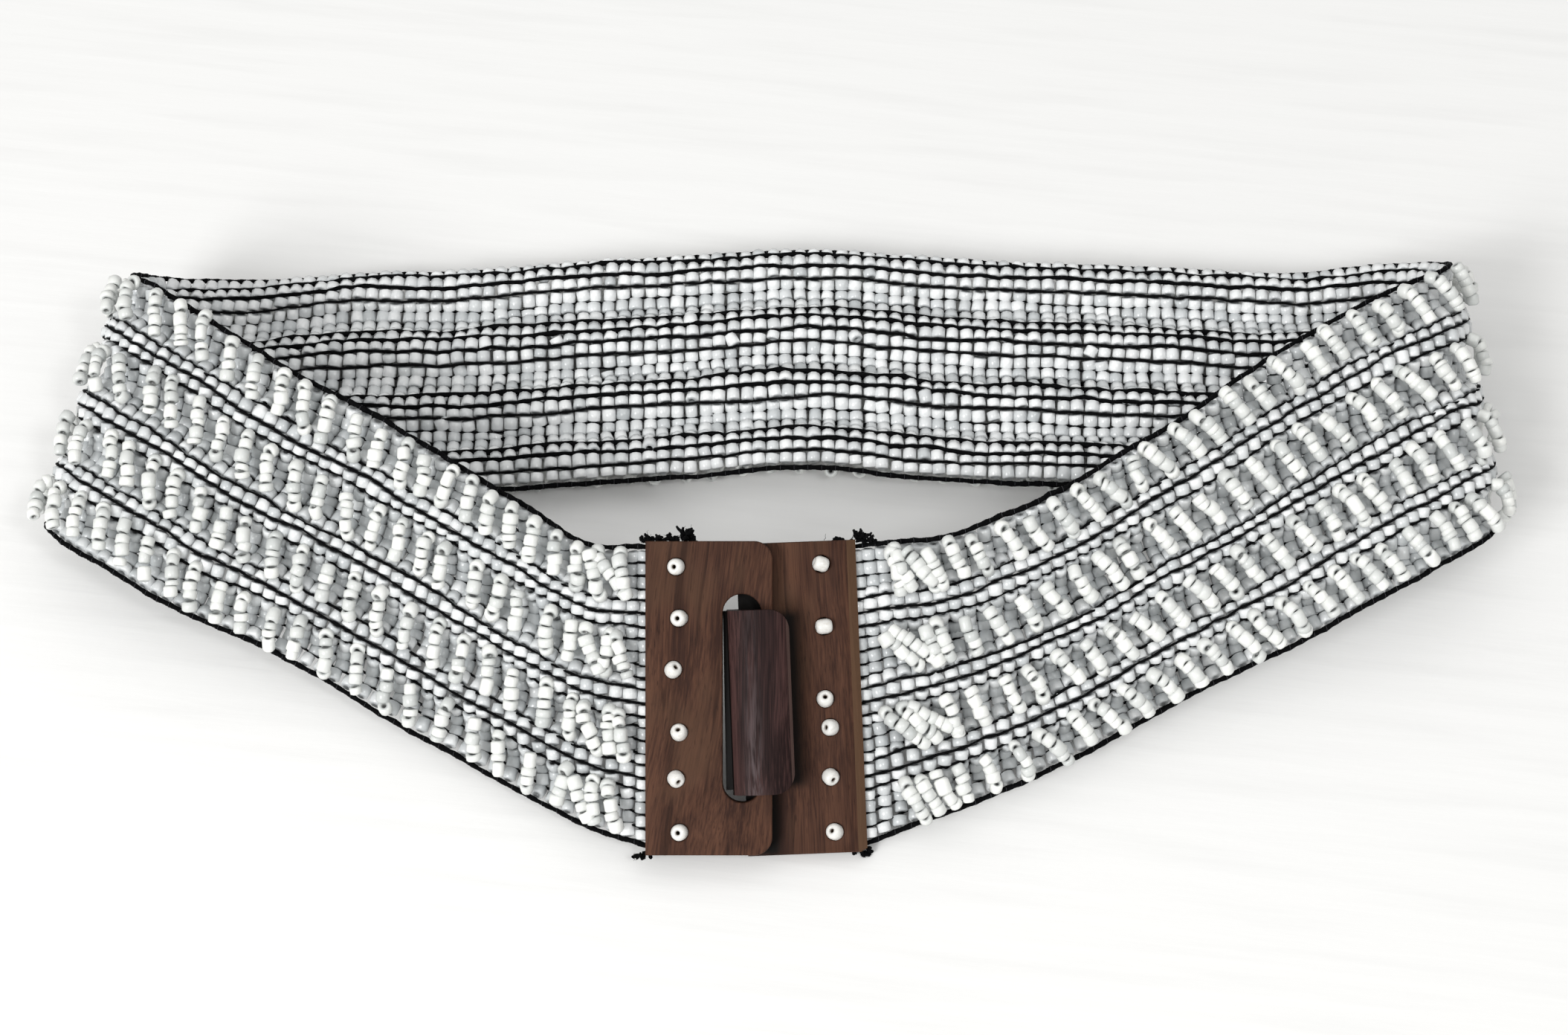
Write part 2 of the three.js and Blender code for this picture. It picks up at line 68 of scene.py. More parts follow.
# Sections of the band, from the slotted plate round the back to the hook plate, as in the part's
# source. Columns: x, y and z of the middle of the band, the heading and the rise of the line
# across it in degrees, and the share of the full width that the band spreads to there.
HEADING, RISE, SPREAD = 3, 4, 5
SECTIONS = (
    ("slotted plate", (-0.0322, -0.0668, 0.0247, 0, 32, 1)),
    ("front left", (-0.05, -0.06, 0.0228, 4.5, 33, 0.92)),
    ("front left", (-0.07, -0.0479, 0.0234, 13, 35, 0.905)),
    ("front left", (-0.1083, -0.0258, 0.0265, 27, 31, 0.88)),
    ("front left", (-0.1368, -0.0102, 0.0288, 25, 24.5, 0.905)),
    ("left fold", (-0.1595, 0.0052, 0.031, 19.5, 18, 0.95)),
    ("left fold", (-0.171, 0.0126, 0.0298, 16.8, 15.5, 0.97)),
    ("left fold", (-0.178, 0.021, 0.0235, 14.5, 12.5, 0.97)),
    ("left fold", (-0.176, 0.028, 0.0158, 13.5, 9, 0.97)),
    ("left fold", (-0.163, 0.0333, 0.0103, 11.5, 4.5, 0.97)),
    ("back", (-0.138, 0.0355, 0.0081, 6, 0.5, 0.97)),
    ("back", (-0.085, 0.039, 0.0081, 0, 0, 0.97)),
    ("back", (-0.032, 0.0423, 0.0084, -1, -0.5, 0.98)),
    ("back", (0.002, 0.0448, 0.0091, 0, -1.6, 0.98)),
    ("back", (0.035, 0.0432, 0.0086, 1, -0.8, 0.98)),
    ("back", (0.089, 0.039, 0.0081, 2, 0, 0.97)),
    ("back", (0.138, 0.0375, 0.008, 0, 0.3, 0.97)),
    ("right fold", (0.16, 0.0365, 0.0099, -2, 3.5, 0.98)),
    ("right fold", (0.171, 0.0325, 0.0147, -3.5, 7, 0.99)),
    ("right fold", (0.1765, 0.0255, 0.0225, -4.5, 10.5, 1)),
    ("right fold", (0.1735, 0.0165, 0.0305, -6, 13.5, 1)),
    ("right fold", (0.157, 0.0045, 0.0342, -10, 16, 0.99)),
    ("front right", (0.1305, -0.0112, 0.0326, -16, 25, 0.93)),
    ("front right", (0.1026, -0.0278, 0.0295, -19.5, 33, 0.87)),
    ("front right", (0.073, -0.0447, 0.0255, -17, 37, 0.86)),
    ("front right", (0.046, -0.057, 0.023, -10.5, 35, 0.89)),
    ("hook plate", (0.0175, -0.0643, 0.0206, -2.8, 32, 1)),
)

# Ribs across the band, counted in rows from the top edge. Height 1 stands out, -1 lies in.
RIBS = ((0, 0), (2, -1), (5, 1), (8.5, -1), (12, 1), (15, -1), (18, 1), (21, -1), (23, 0))

# Fields of raised strands: the ground rows that each one spans
RAISED_ROWS = ((0, 4), (6, 11), (13, 17), (19, 23))

# Buckle, in its own frame: heights count from the underside of the slotted plate
BUCKLE_CENTRE = np.array([-0.0066, -0.0668, 0.0247])
BUCKLE_TILT = math.radians(32)
PLATE_HEIGHT = 0.0757
PLATE_THICKNESS = 0.0045
SLOTTED_LEFT = -0.0268
SLOTTED_WIDTH = 0.0306
SLOTTED_CORNER = 0.0044
SLOT = {"left": -0.0082, "right": 0.0012, "top": 0.0251, "bottom": -0.0251}
HOOK_PLATE_WIDTH = 0.029
HOOK_PLATE_MIDDLE = (0.0109, -0.0002)
HOOK_PLATE_TURN = math.radians(2.3)
PLATE_STEP = 0.0048
HOOK = {"left": -0.0174, "right": -0.0024, "neck_right": -0.0116, "top": 0.022, "bottom": -0.0223}
HOOK_CROWN = 0.0096
REBATE_WIDTH = 0.0102
REBATE_ROOF = 0.002
BEAD_HOLE = 0.0043

# Plug beads. Columns: plate, x and y on the buckle, how far the hole leans and towards where, in
# degrees, and the bead's length along its hole.
PLUG_BEADS = (
    ("slotted", -0.0194, 0.0317, 20, 180, 0.0034),
    ("slotted", -0.0187, 0.0193, 15, 180, 0.0034),
    ("slotted", -0.0201, 0.0069, 42, 45, 0.0034),
    ("slotted", -0.0187, -0.0082, 34, 105, 0.0034),
    ("slotted", -0.0194, -0.0194, 40, -45, 0.0034),
    ("slotted", -0.0186, -0.0323, 14, 180, 0.0034),
    ("hook", 0.0156, 0.0323, 78, 160, 0.0036),
    ("hook", 0.0163, 0.0172, 84, 184, 0.0040),
    ("hook", 0.0166, -0.0004, 25, 90, 0.0034),
    ("hook", 0.0178, -0.0073, 45, 175, 0.0034),
    ("hook", 0.0179, -0.0193, 40, -45, 0.0034),
    ("hook", 0.0189, -0.0326, 35, 150, 0.0034),
)

# How far the strands lean along the band, in degrees, at places along it
STRAND_LEANS = (
    (0.0, 0), (0.05, 3), (0.09, 14), (0.16, 18), (0.37, 20), (0.58, 24), (0.68, 23), (0.72, 12),
)

# Settings that a user would change
def length_setting(name, description, default, smallest):
    return FloatProperty(
        name=name, description=description, default=default, min=smallest, unit="LENGTH",
        precision=5,
    )


def colour_setting(name, description, default):
    return FloatVectorProperty(
        name=name, description=description, default=default, subtype="COLOR", size=3, min=0.0,
        max=1.0,
    )


class BeltBandSettings(bpy.types.PropertyGroup):
    """The woven band"""

    bead_diameter: length_setting("Bead diameter", "Ground bead, across its hole", 0.0036, 0.001)
    bead_fill: FloatProperty(
        name="Bead fill", description="Share of the room between two lines that a bead takes",
        default=0.94, min=0.5, max=1.1,
    )
    elastic_diameter: length_setting(
        "Elastic width", "Each lengthwise elastic between two rows, as seen", 0.00064, 0.0002,
    )
    cord_diameter: length_setting(
        "Edge cord diameter", "Wrapped elastic along both edges", 0.0015, 0.0005,
    )
    rib_depth: length_setting(
        "Rib depth", "How far the ribs stand out where the band is full width", 0.0020, 0.0,
    )
    rib_gain: length_setting(
        "Rib gain", "Extra rib depth for each share of width that is drawn in", 0.0038, 0.0,
    )
    bead_colour: colour_setting("Ground beads", "Bluish white glass", (0.765, 0.775, 0.777))
    elastic_colour: colour_setting("Elastic", "Black wrapped elastic", (0.0016, 0.0016, 0.002))


class BeltStrandSettings(bpy.types.PropertyGroup):
    """The raised strands of beads"""

    bead_diameter: length_setting("Bead diameter", "Strand bead, across its hole", 0.00352, 0.001)
    bead_length: length_setting(
        "Bead length", "Strand bead, along its hole, on average", 0.0025, 0.001,
    )
    crest: length_setting(
        "Crest", "Height of a strand's thread over the middle of the band", 0.0052, 0.002,
    )
    pitch: length_setting("Pitch", "From one strand to the next along the band", 0.0076, 0.004)
    half_span: length_setting(
        "Half span", "From the middle of a strand's field to its foot", 0.0054, 0.002,
    )
    bead_colour: colour_setting("Strand beads", "Warm white glass", (0.80, 0.805, 0.775))


class BeltBuckleSettings(bpy.types.PropertyGroup):
    """The wooden buckle and its plug beads"""

    edge_round: length_setting("Edge rounding", "Rounding of the plates' edges", 0.0004, 0.0001)
    plug_diameter: length_setting(
        "Plug bead diameter", "Beads that plug the holes", 0.0041, 0.002,
    )
    plate_light: colour_setting("Plate, light grain", "Light grain", (0.100, 0.045, 0.027))
    plate_dark: colour_setting("Plate, dark grain", "Dark grain", (0.030, 0.0125, 0.0085))
    hook_light: colour_setting("Hook, light grain", "Light grain", (0.076, 0.037, 0.034))
    hook_dark: colour_setting("Hook, dark grain", "Dark grain", (0.012, 0.0055, 0.0055))


class BeltStageSettings(bpy.types.PropertyGroup):
    """Floor, lights and camera"""

    floor_colour: colour_setting("Floor", "Pale floor", (0.845, 0.843, 0.834))
    key_power: FloatProperty(
        name="Key light", description="Power of the large soft light",
        default=30.0, min=0.0, unit="POWER",
    )
    sky_strength: FloatProperty(
        name="Sky", description="Strength of the light from overhead", default=0.72, min=0.0,
    )
    lens: FloatProperty(
        name="Lens", description="Focal length of the camera, in millimetres",
        default=71.0, min=10.0, unit="CAMERA",
    )
    seed: IntProperty(name="Seed", description="Seed of every random draw", default=7917, min=0)


SETTING_GROUPS = (
    ("belt_band", BeltBandSettings),
    ("belt_strands", BeltStrandSettings),
    ("belt_buckle", BeltBuckleSettings),
    ("belt_stage", BeltStageSettings),
)


# The band's middle line is a smooth curve through the sections, measured along their chords
section_rows = np.array([numbers for _, numbers in SECTIONS], float)
section_chords = np.linalg.norm(np.diff(section_rows[:, :3], axis=0), axis=1)
section_start = np.concatenate([[0.0], np.cumsum(section_chords)])
band_length = section_start[-1]
column_count = int(band_length / COLUMN_PITCH)


def section_slopes():
    """Slope of every column at every section, as a weighted mean of its neighbours"""
    chord_slopes = np.diff(section_rows, axis=0) / section_chords[:, None]
    before = section_chords[:-1, None]
    after = section_chords[1:, None]
    inner = (chord_slopes[:-1] * after + chord_slopes[1:] * before) / (before + after)
    return np.vstack([chord_slopes[:1], inner, chord_slopes[-1:]])


band_slopes = section_slopes()


def sections_at(along):
    """Every column of the section table at many places along the band"""
    along = np.asarray(along, float)
    last = len(section_start) - 2
    i = np.clip(np.searchsorted(section_start, along, side="right") - 1, 0, last)
    span = section_chords[i]
    t = (along - section_start[i]) / span
    keep_start = (1 - t * t * (3 - 2 * t))[..., None]
    leave_start = (t * (1 - t) ** 2 * span)[..., None]
    reach_end = (t * t * (t - 1) * span)[..., None]
    ends = section_rows[i] * keep_start + section_rows[i + 1] * (1 - keep_start)
    return ends + band_slopes[i] * leave_start + band_slopes[i + 1] * reach_end


def unit(vectors):
    return vectors / np.linalg.norm(vectors, axis=-1, keepdims=True)


def band_axes(along):
    """Middle point, line across, direction along, outward direction and spread of the band"""
    reach = 0.002
    section = sections_at(along)
    heading = np.radians(section[..., HEADING])
    rise = np.radians(section[..., RISE])
    level = np.cos(rise)
    across_line = np.stack([np.sin(heading) * level, np.cos(heading) * level, np.sin(rise)], -1)
    ahead = sections_at(np.asarray(along) + reach)[..., :3]
    behind = sections_at(np.asarray(along) - reach)[..., :3]
    direction = unit(ahead - behind)
    outward = unit(np.cross(across_line, direction))
    middle = section[..., :3] - FOOT_CENTRE
    return middle, across_line, direction, outward, section[..., SPREAD]


def band_points(along, across, out):
    """Points of the band in the part's frame"""
    middle, across_line, _, outward, spread = band_axes(along)
    width = (np.asarray(across) * spread)[..., None]
    return middle + across_line * width + outward * np.asarray(out)[..., None]


# Ribs of the woven ground
rib_rows = np.array([row for row, _ in RIBS], float)
rib_heights = np.array([height for _, height in RIBS], float)


def rib_height(row):
    """Height of the ribs at a place counted in rows, from -1 to 1, with broad crests"""
    row = np.clip(row, rib_rows[0], rib_rows[-1])
    i = np.clip(np.searchsorted(rib_rows, row, side="right") - 1, 0, len(RIBS) - 2)
    t = (row - rib_rows[i]) / (rib_rows[i + 1] - rib_rows[i])
    ease = (1 - np.cos(math.pi * t)) / 2
    height = rib_heights[i] + (rib_heights[i + 1] - rib_heights[i]) * ease
    return np.sin(height * math.pi / 2)


def above_floor(centres, radii):
    """Nothing lies lower than the floor"""
    centres[..., 2] = np.maximum(centres[..., 2], radii)
    return centres


def rib_slope(row):
    step = 0.02
    return (rib_height(row + step) - rib_height(row - step)) / (2 * step)


def even_rows(typical_depth):
    """Rows lie evenly along the ribbed wall, so they crowd a little where it is steep"""
    fine = np.linspace(0, ROWS, 100 * ROWS + 1)
    step_length = np.hypot(ROW_PITCH, typical_depth * rib_slope(fine)) * fine[1]
    travelled = np.concatenate([[0.0], np.cumsum((step_length[1:] + step_length[:-1]) / 2)])
    return fine, travelled / travelled[-1] * ROWS


def across_of_row(row):
    return BAND_WIDTH / 2 - np.asarray(row) * ROW_PITCH


def smooth_noise(rng, count, spacing, length):
    """Noise with unit spread that wavers over about the given length along the band"""
    reach = max(1, int(round(3 * length / spacing)))
    weights = np.exp(-0.5 * (np.arange(-reach, reach + 1) * spacing / length) ** 2)
    raw = rng.normal(size=count + 2 * reach)
    return np.convolve(raw, weights, "valid") / math.sqrt((weights ** 2).sum())


def varied(rng, middle, spread, low, high, count):
    """Random numbers about a middle, kept between low and high"""
    return np.clip(middle + spread * rng.normal(size=count), low, high)


# How the lines of the weave waver, all together and each on its own. The jag is new at every
# column, and the lines at the edges show only a share of their own part.
COMMON_WAVE, COMMON_WAVE_LENGTH = 0.00052, 0.013
OWN_WAVE, OWN_WAVE_LENGTH = 0.00032, 0.0055
JAG = 0.00024
EDGE_SHARE = 0.45


class Weave:
    """Where the lengthwise elastics and the ground rows of the band run"""

    def __init__(self, band, seed):
        rng = np.random.default_rng(seed)
        self.depth = band.rib_depth
        self.gain = band.rib_gain
        self.fine_rows, self.even_places = even_rows(self.depth)
        places = column_count + 1
        self.places_along = np.linspace(0, band_length, places)
        spacing = self.places_along[1]
        common = COMMON_WAVE * smooth_noise(rng, places, spacing, COMMON_WAVE_LENGTH)
        lines = []
        for line in range(ROWS + 1):
            own = OWN_WAVE * smooth_noise(rng, places, spacing, OWN_WAVE_LENGTH)
            own = own + JAG * rng.normal(size=places)
            share = EDGE_SHARE if line in (0, ROWS) else 1.0
            lines.append((common + share * own) * self.plate_fade(self.places_along))
        self.line_shift = np.array(lines)

    @staticmethod
    def plate_fade(along):
        """Ribs and wavering die out where the band goes flat into the buckle"""
        fade_length = 0.014
        near = np.clip(np.minimum(along, band_length - along) / fade_length, 0, 1)
        return near * near * (3 - 2 * near)

    def rib_depth(self, along):
        drawn_in = 1 - sections_at(along)[..., SPREAD]
        return (self.depth + self.gain * drawn_in) * self.plate_fade(along)

    def row_place(self, even_row):
        return np.interp(even_row, self.even_places, self.fine_rows)

    def shift(self, line, along):
        return np.interp(along, self.places_along, self.line_shift[line])

    def line(self, line, along):
        """Across and out of the line between two rows"""
        row = self.row_place(float(line))
        across = across_of_row(row) + self.shift(line, along)
        return across, self.rib_depth(along) * rib_height(row)


def bead_end_shade(rings, sides, rim, hole):
    """Share of a bead's tone at each point of its template: painted shade darkens its rim and its
    hole
    """
    body_radius, rim_radius = 0.9, 0.5
    shares = []
    for _, radius in rings:
        shares.append(1.0 if radius > body_radius else rim if radius > rim_radius else hole)
    return np.repeat(shares, sides)


# Mesh building: a ring template copied to many places and joined
def ring_bead(rings, sides):
    """Points and faces of a bead. Each ring holds its place along the hole and its radius, both
    as shares of the bead's length and radius, and the last ring closes on the first."""
    turn = 2 * math.pi * np.arange(sides) / sides
    points = [
        np.stack([radius * np.cos(turn), radius * np.sin(turn), np.full(sides, place)], -1)
        for place, radius in rings
    ]
    return np.concatenate(points), ring_faces(np.arange(len(rings)), len(rings), sides)


def ring_faces(rings, count, sides):
    """Four-sided faces between each of the given rings and the next one of count"""
    here, after = rings[:, None] * sides, (rings[:, None] + 1) % count * sides
    side = np.arange(sides)
    beside = (side + 1) % sides
    return np.stack([here + side, here + beside, after + beside, after + side], -1).reshape(-1, 4)


def placed_copies(template, centres, side_a, side_b, axis, radii, lengths):
    """One set of points and faces for a template at many places. axis is the hole's direction."""
    points, faces = template
    wide_a = side_a * radii[:, None]
    wide_b = side_b * radii[:, None]
    long_axis = axis * lengths[:, None]
    placed = (
        centres[:, None, :]
        + points[None, :, 0, None] * wide_a[:, None, :]
        + points[None, :, 1, None] * wide_b[:, None, :]
        + points[None, :, 2, None] * long_axis[:, None, :]
    )
    offsets = np.arange(len(centres))[:, None, None] * len(points)
    return placed.reshape(-1, 3), (faces[None] + offsets).reshape(-1, faces.shape[1])


def swept_tube(centres, side_a, side_b, radii, sides, closed=False):
    """A tube through centres, closed on itself or capped, with its two sides given at each
    place"""
    turn = 2 * math.pi * np.arange(sides) / sides
    ring = np.cos(turn)[None, :, None] * side_a[:, None, :]
    ring = ring + np.sin(turn)[None, :, None] * side_b[:, None, :]
    points = (centres[:, None, :] + ring * radii[:, None, None]).reshape(-1, 3)
    count = len(centres)
    if closed:
        return points, ring_faces(np.arange(count), count, sides)
    faces = ring_faces(np.arange(count - 1), count, sides)
    return points, np.concatenate([faces, tube_caps(count, sides)])


def tube_caps(ring_count, sides):
    """Faces that close both ends of a tube with an even number of sides, as strips of quads"""
    faces = []
    last = (ring_count - 1) * sides
    for a in range(sides // 2 - 1):
        b, c, d = a + 1, sides - 2 - a, sides - 1 - a
        faces.append((d, c, b, a))
        faces.append((last + a, last + b, last + c, last + d))
    return np.array(faces)


class JoinedMesh:
    """Collects points, four-sided faces and a tone for each point, then makes one piece"""

    def __init__(self):
        self.points = []
        self.faces = []
        self.tones = []
        self.count = 0

    def add(self, points, faces, tones=0.5):
        self.points.append(points)
        self.faces.append(faces + self.count)
        self.tones.append(np.broadcast_to(np.asarray(tones, float), (len(points),)))
        self.count += len(points)

    def piece(self, name, material):
        points = np.concatenate(self.points).astype(np.float32)
        faces = np.concatenate(self.faces).astype(np.int32)
        tones = np.concatenate(self.tones).astype(np.float32)
        mesh = bpy.data.meshes.new(name)
        mesh.vertices.add(len(points))
        mesh.vertices.foreach_set("co", points.ravel())
        mesh.loops.add(faces.size)
        mesh.loops.foreach_set("vertex_index", faces.ravel())
        mesh.polygons.add(len(faces))
        mesh.polygons.foreach_set("loop_start", np.arange(0, faces.size, 4, dtype=np.int32))
        mesh.update(calc_edges=True)
        mesh.shade_smooth()
        tone = mesh.attributes.new("tone", "FLOAT", "POINT")
        tone.data.foreach_set("value", tones)
        mesh.materials.append(material)
        return linked(bpy.data.objects.new(name, mesh))


def linked(obj):
    bpy.context.scene.collection.objects.link(obj)
    return obj


def finish_piece(obj, slot, *nodes):
    """Rides on the belt's one body and stands for CAD nodes, which it hides; slot is not used"""
    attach(obj, "root")
    if nodes:
        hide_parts(*nodes)


def bead_piece(name, material, template, beads, tones, slot, node):
    """One piece from a bead's template. beads holds the middles, both sides, the directions of
    the holes, the radii and the lengths."""
    joined = JoinedMesh()
    joined.add(*placed_copies(template, *beads), tones)
    finish_piece(joined.piece(name, material), slot, node)


# Shader maths as Python expressions
class Value:
    """A node socket that can be added, multiplied and taken from a number"""

    def __init__(self, graph, socket):
        self.graph = graph
        self.socket = socket

    def math(self, operation, first, second):
        return self.graph.node("ShaderNodeMath", {"operation": operation}, {0: first, 1: second})

    def __add__(self, other):
        return self.math("ADD", self, other)

    __radd__ = __add__

    def __mul__(self, other):
        return self.math("MULTIPLY", self, other)

    __rmul__ = __mul__

    def __rsub__(self, other):
        return self.math("SUBTRACT", other, self)

    def above(self, low, high):
        """0 below low, 1 above high, smooth between"""
        settings = {"interpolation_type": "SMOOTHSTEP"}
        return self.graph.node("ShaderNodeMapRange", settings, {0: self, 1: low, 2: high})

    def between(self, low, high, blur):
        """1 from low to high and 0 outside, with both ends blurred"""
        return self.above(low - blur, low + blur) * (1.0 - self.above(high - blur, high + blur))

    def ramp(self, low, high, start, end):
        """start at low, end at high, and straight between"""
        sockets = {0: self, 1: low, 2: high, 3: start, 4: end}
        return self.graph.node("ShaderNodeMapRange", None, sockets)


class Graph:
    """The node tree of one material or world, and its shader"""

    def __init__(self, owner, shader="Principled BSDF"):
        owner.use_nodes = True
        self.owner = owner
        self.tree = owner.node_tree
        self.shader = self.tree.nodes[shader]

    def node(self, kind, settings=None, sockets=None, output=0):
        """Any node: its settings first, then the values or links of its sockets"""
        made = self.tree.nodes.new(kind)
        for name, setting in (settings or {}).items():
            setattr(made, name, setting)
        for name, value in (sockets or {}).items():
            self.feed(made.inputs[name], value)
        return Value(self, made.outputs[output])

    def feed(self, socket, value):
        if isinstance(value, Value):
            self.tree.links.new(value.socket, socket)
        elif socket.type == "RGBA" and len(value) == 3:
            socket.default_value = (*value, 1.0)
        else:
            socket.default_value = value

    def surface(self, **values):
        """Sets the shader's sockets. Underscores in a name stand for spaces."""
        for name, value in values.items():
            self.feed(self.shader.inputs[name.replace("_", " ")], value)

    def mix(self, factor, colour_a, colour_b):
        sockets = {0: factor, 6: colour_a, 7: colour_b}
        return self.node("ShaderNodeMix", {"data_type": "RGBA"}, sockets, 2)

    def tone(self):
        settings = {"attribute_name": "tone", "attribute_type": "GEOMETRY"}
        return self.node("ShaderNodeAttribute", settings, None, 2)

    def place(self, turn=(0, 0, 0), stretch=(1, 1, 1), start=(0, 0, 0)):
        """Object coordinates, turned, then stretched and moved"""
        place = self.node("ShaderNodeTexCoord", None, None, 3)
        turned = self.node("ShaderNodeMapping", None, {"Vector": place, "Rotation": turn})
        sockets = {"Vector": turned, "Scale": stretch, "Location": start}
        return self.node("ShaderNodeMapping", None, sockets)

    def vector_math(self, operation, sockets):
        return self.node("ShaderNodeVectorMath", {"operation": operation}, sockets)

    def part(self, vector, index):
        """x, y or z of a vector"""
        return self.node("ShaderNodeSeparateXYZ", None, {0: vector}, index)

    def noise(self, place, scale, detail=2.0, roughness=0.5, output=0):
        """Noise: output 0 is a number about a half, output 1 a colour"""
        sockets = {"Vector": place, "Scale": scale, "Detail": detail, "Roughness": roughness}
        return self.node("ShaderNodeTexNoise", None, sockets, output)

    def bump(self, height, distance):
        sockets = {"Height": height, "Distance": distance, "Strength": 0.5}
        return self.node("ShaderNodeBump", None, sockets)


def scaled(colour, *shares):
    """A colour times one share, or times a share for each of its parts"""
    return tuple(part * share for part, share in zip(colour, shares * (3 // len(shares))))


def bead_glass(name, colour, roughness, coat):
    """Opaque glass: each bead has its own tone and faint clouds. Painted shade lowers the tone at
    the beads' rims and holes and in the ribs' valleys
    """
    graph = Graph(bpy.data.materials.new(name))
    tone = graph.tone()
    darkest_body = 0.45
    cool = scaled(colour, 0.68, 0.70, 0.71)
    bright = tuple(min(1.0, part) for part in scaled(colour, 1.10))
    body = graph.mix(tone.above(darkest_body, 1.0), cool, bright)
    # Tones below darkest_body run down to near black: painted shade at the beads' rims and holes
    base = graph.mix(tone.above(0.0, darkest_body), scaled(colour, 0.16), body)
    clouds = graph.noise(graph.place(), 700.0, 1.0).above(0.45, 0.7)
    base = graph.mix(0.16 * clouds, base, (0.52, 0.55, 0.56))
    graph.surface(
        Base_Color=base, Roughness=roughness, IOR=1.52, Coat_Weight=coat, Coat_Roughness=0.06,
    )
    return graph.owner


def wrapped_elastic(name, colour):
    """Black thread wrapped on elastic, with a faint fuzz"""
    graph = Graph(bpy.data.materials.new(name))
    threads = graph.noise(graph.place(), 2600.0)
    highlight_and_fuzz = tuple(part + 0.006 for part in colour)
    graph.surface(
        Base_Color=graph.mix(threads.above(0.5, 0.8), colour, highlight_and_fuzz), Roughness=0.9,
        Specular_IOR_Level=0.08, Normal=graph.bump(threads, 0.0001),
    )
    return graph.owner


# A painted highlight on the hook, and painted shadow on wood under and beside other parts
HIGHLIGHT_REACH = 0.0030
HIGHLIGHT_COLOUR = (0.105, 0.078, 0.080)
SHADOW_BLUR = 0.0015
SHADOW_COLOUR = (0.0025, 0.0018, 0.0015)


def grained_wood(
    name, light, dark, start, turn, roughness, gloss, edge=None, shadowed=(), highlight_and_fuzz=None,
):
    """Dark wood: long bands and fibres that wander along the grain, with short open pores. The
    grain leans right by turn. Past the place edge, counted across the plate with the hook, the
    wood is paler and greener. The argument after edge lists painted shadows on the wood, where
    other parts lie over it or beside it. The last argument places a strip of painted highlight,
    pale: its middle across, its lower end and its upper end, where the highlight fades."""
    graph = Graph(bpy.data.materials.new(name))

    def along_grain(stretch):
        return graph.place((-BUCKLE_TILT, 0, turn), (1.0, stretch, 1.0), start)

    wander = graph.noise(along_grain(0.45), 38.0, 1.0, output=1)
    wander = graph.vector_math("SCALE", {0: wander, 3: 0.0062})
    long_place = graph.vector_math("ADD", {0: along_grain(0.05), 1: wander})
    fine_place = graph.vector_math("ADD", {0: along_grain(0.11), 1: wander})
    bands = graph.noise(long_place, 150.0, 3.0, 0.6)
    fibres = graph.noise(long_place, 2100.0, 2.0, 0.6)
    pores = graph.noise(fine_place, 2300.0).above(0.60, 0.74)
    cloud = graph.noise(along_grain(0.5), 60.0)
    streaks = (0.50 * bands + 0.42 * fibres + 0.18 * cloud).above(0.40, 0.71)
    base = graph.mix(streaks, dark, light)
    base = graph.mix(0.6 * cloud.above(0.52, 0.68), base, scaled(light, 0.75, 0.86, 0.85))
    deep = scaled(dark, 0.45)
    base = graph.mix(0.55 * graph.noise(long_place, 420.0).above(0.60, 0.70), base, deep)
    base = graph.mix(0.5 * pores, base, deep)
    plate_place = graph.place((-BUCKLE_TILT, 0, -HOOK_PLATE_TURN))
    across, upward = graph.part(plate_place, 0), graph.part(plate_place, 1)
    if edge:
        blur = 0.0001
        pale = scaled(light, 1.2, 1.5, 1.4)
        base = graph.mix(0.7 * across.above(edge - blur, edge + blur), base, pale)
    # Painted highlight: a pale strip along the hook, strongest towards its lower end
    if highlight_and_fuzz:
        middle, low, high = highlight_and_fuzz
        half = HIGHLIGHT_REACH / 2
        strip = across.between(middle - half, middle + half, half)
        fine = graph.noise(fine_place, 1300.0, 2.0, 0.7).above(0.36, 0.66)
        painted_highlight = strip * fine * (0.15 + 0.6 * (1.0 - upward.above(low, high)))
        base = graph.mix(painted_highlight, base, HIGHLIGHT_COLOUR)
    # Painted shadow: the wood darkens left of each given right edge, between its low and high
    # ends
    for right, fade, low, high, strength in shadowed:
        painted_shadow = (1.0 - across.above(right, right + fade)) * upward.between(low, high, SHADOW_BLUR)
        base = graph.mix(strength * painted_shadow, base, SHADOW_COLOUR)
    height = fibres * 0.6 + (1.0 - pores) * 0.4
    graph.surface(
        Base_Color=base, Roughness=roughness + 0.12 * fibres, Specular_IOR_Level=gloss,
        Normal=graph.bump(height, 0.0001),
    )
    return graph.owner


def pale_floor(name, colour):
    """White painted board with faint brush strokes"""
    graph = Graph(bpy.data.materials.new(name))
    strokes = graph.noise(graph.place(turn=(0, 0, 0.12), stretch=(0.08, 1.0, 1.0)), 160.0, 4.0)
    broad = graph.noise(graph.place(), 3.0)
    base = graph.mix(
        0.5 * strokes.above(0.45, 0.75) + 0.3 * broad, colour, scaled(colour, 0.93),
    )
    graph.surface(Base_Color=base, Roughness=0.55, Normal=graph.bump(strokes, 0.0004))
    return graph.owner


# Ground beads. The back shows the band's inner face, from BACK_START to BACK_END along it. A bead
# that leans needs a little more room over the floor than its radius.
GROUND_RINGS = ((-0.5, 0.52), (-0.36, 0.98), (0.36, 0.98), (0.5, 0.52))
GROUND_SIDES = 10
GROUND_PIECES = ("left", "back", "right")
BACK_START, BACK_END = 0.19, 0.55
FLOOR_ROOM = 1.05
ODD_SHARE = 0.04
SHORTEST_BEAD, LONGEST_BEAD = 0.0017, 0.0040

# How the beads lie on the side that is seen. Columns: the share of their room that they fill, how
# much less that is on a rib's crest, their tone, and how much painted shade darkens them in a
# rib's valley.
SEEN_BACK = (0.98, 0.04, 0.84, 0.12)
SEEN_FRONT = (1.03, 0.09, 0.74, 0.24)


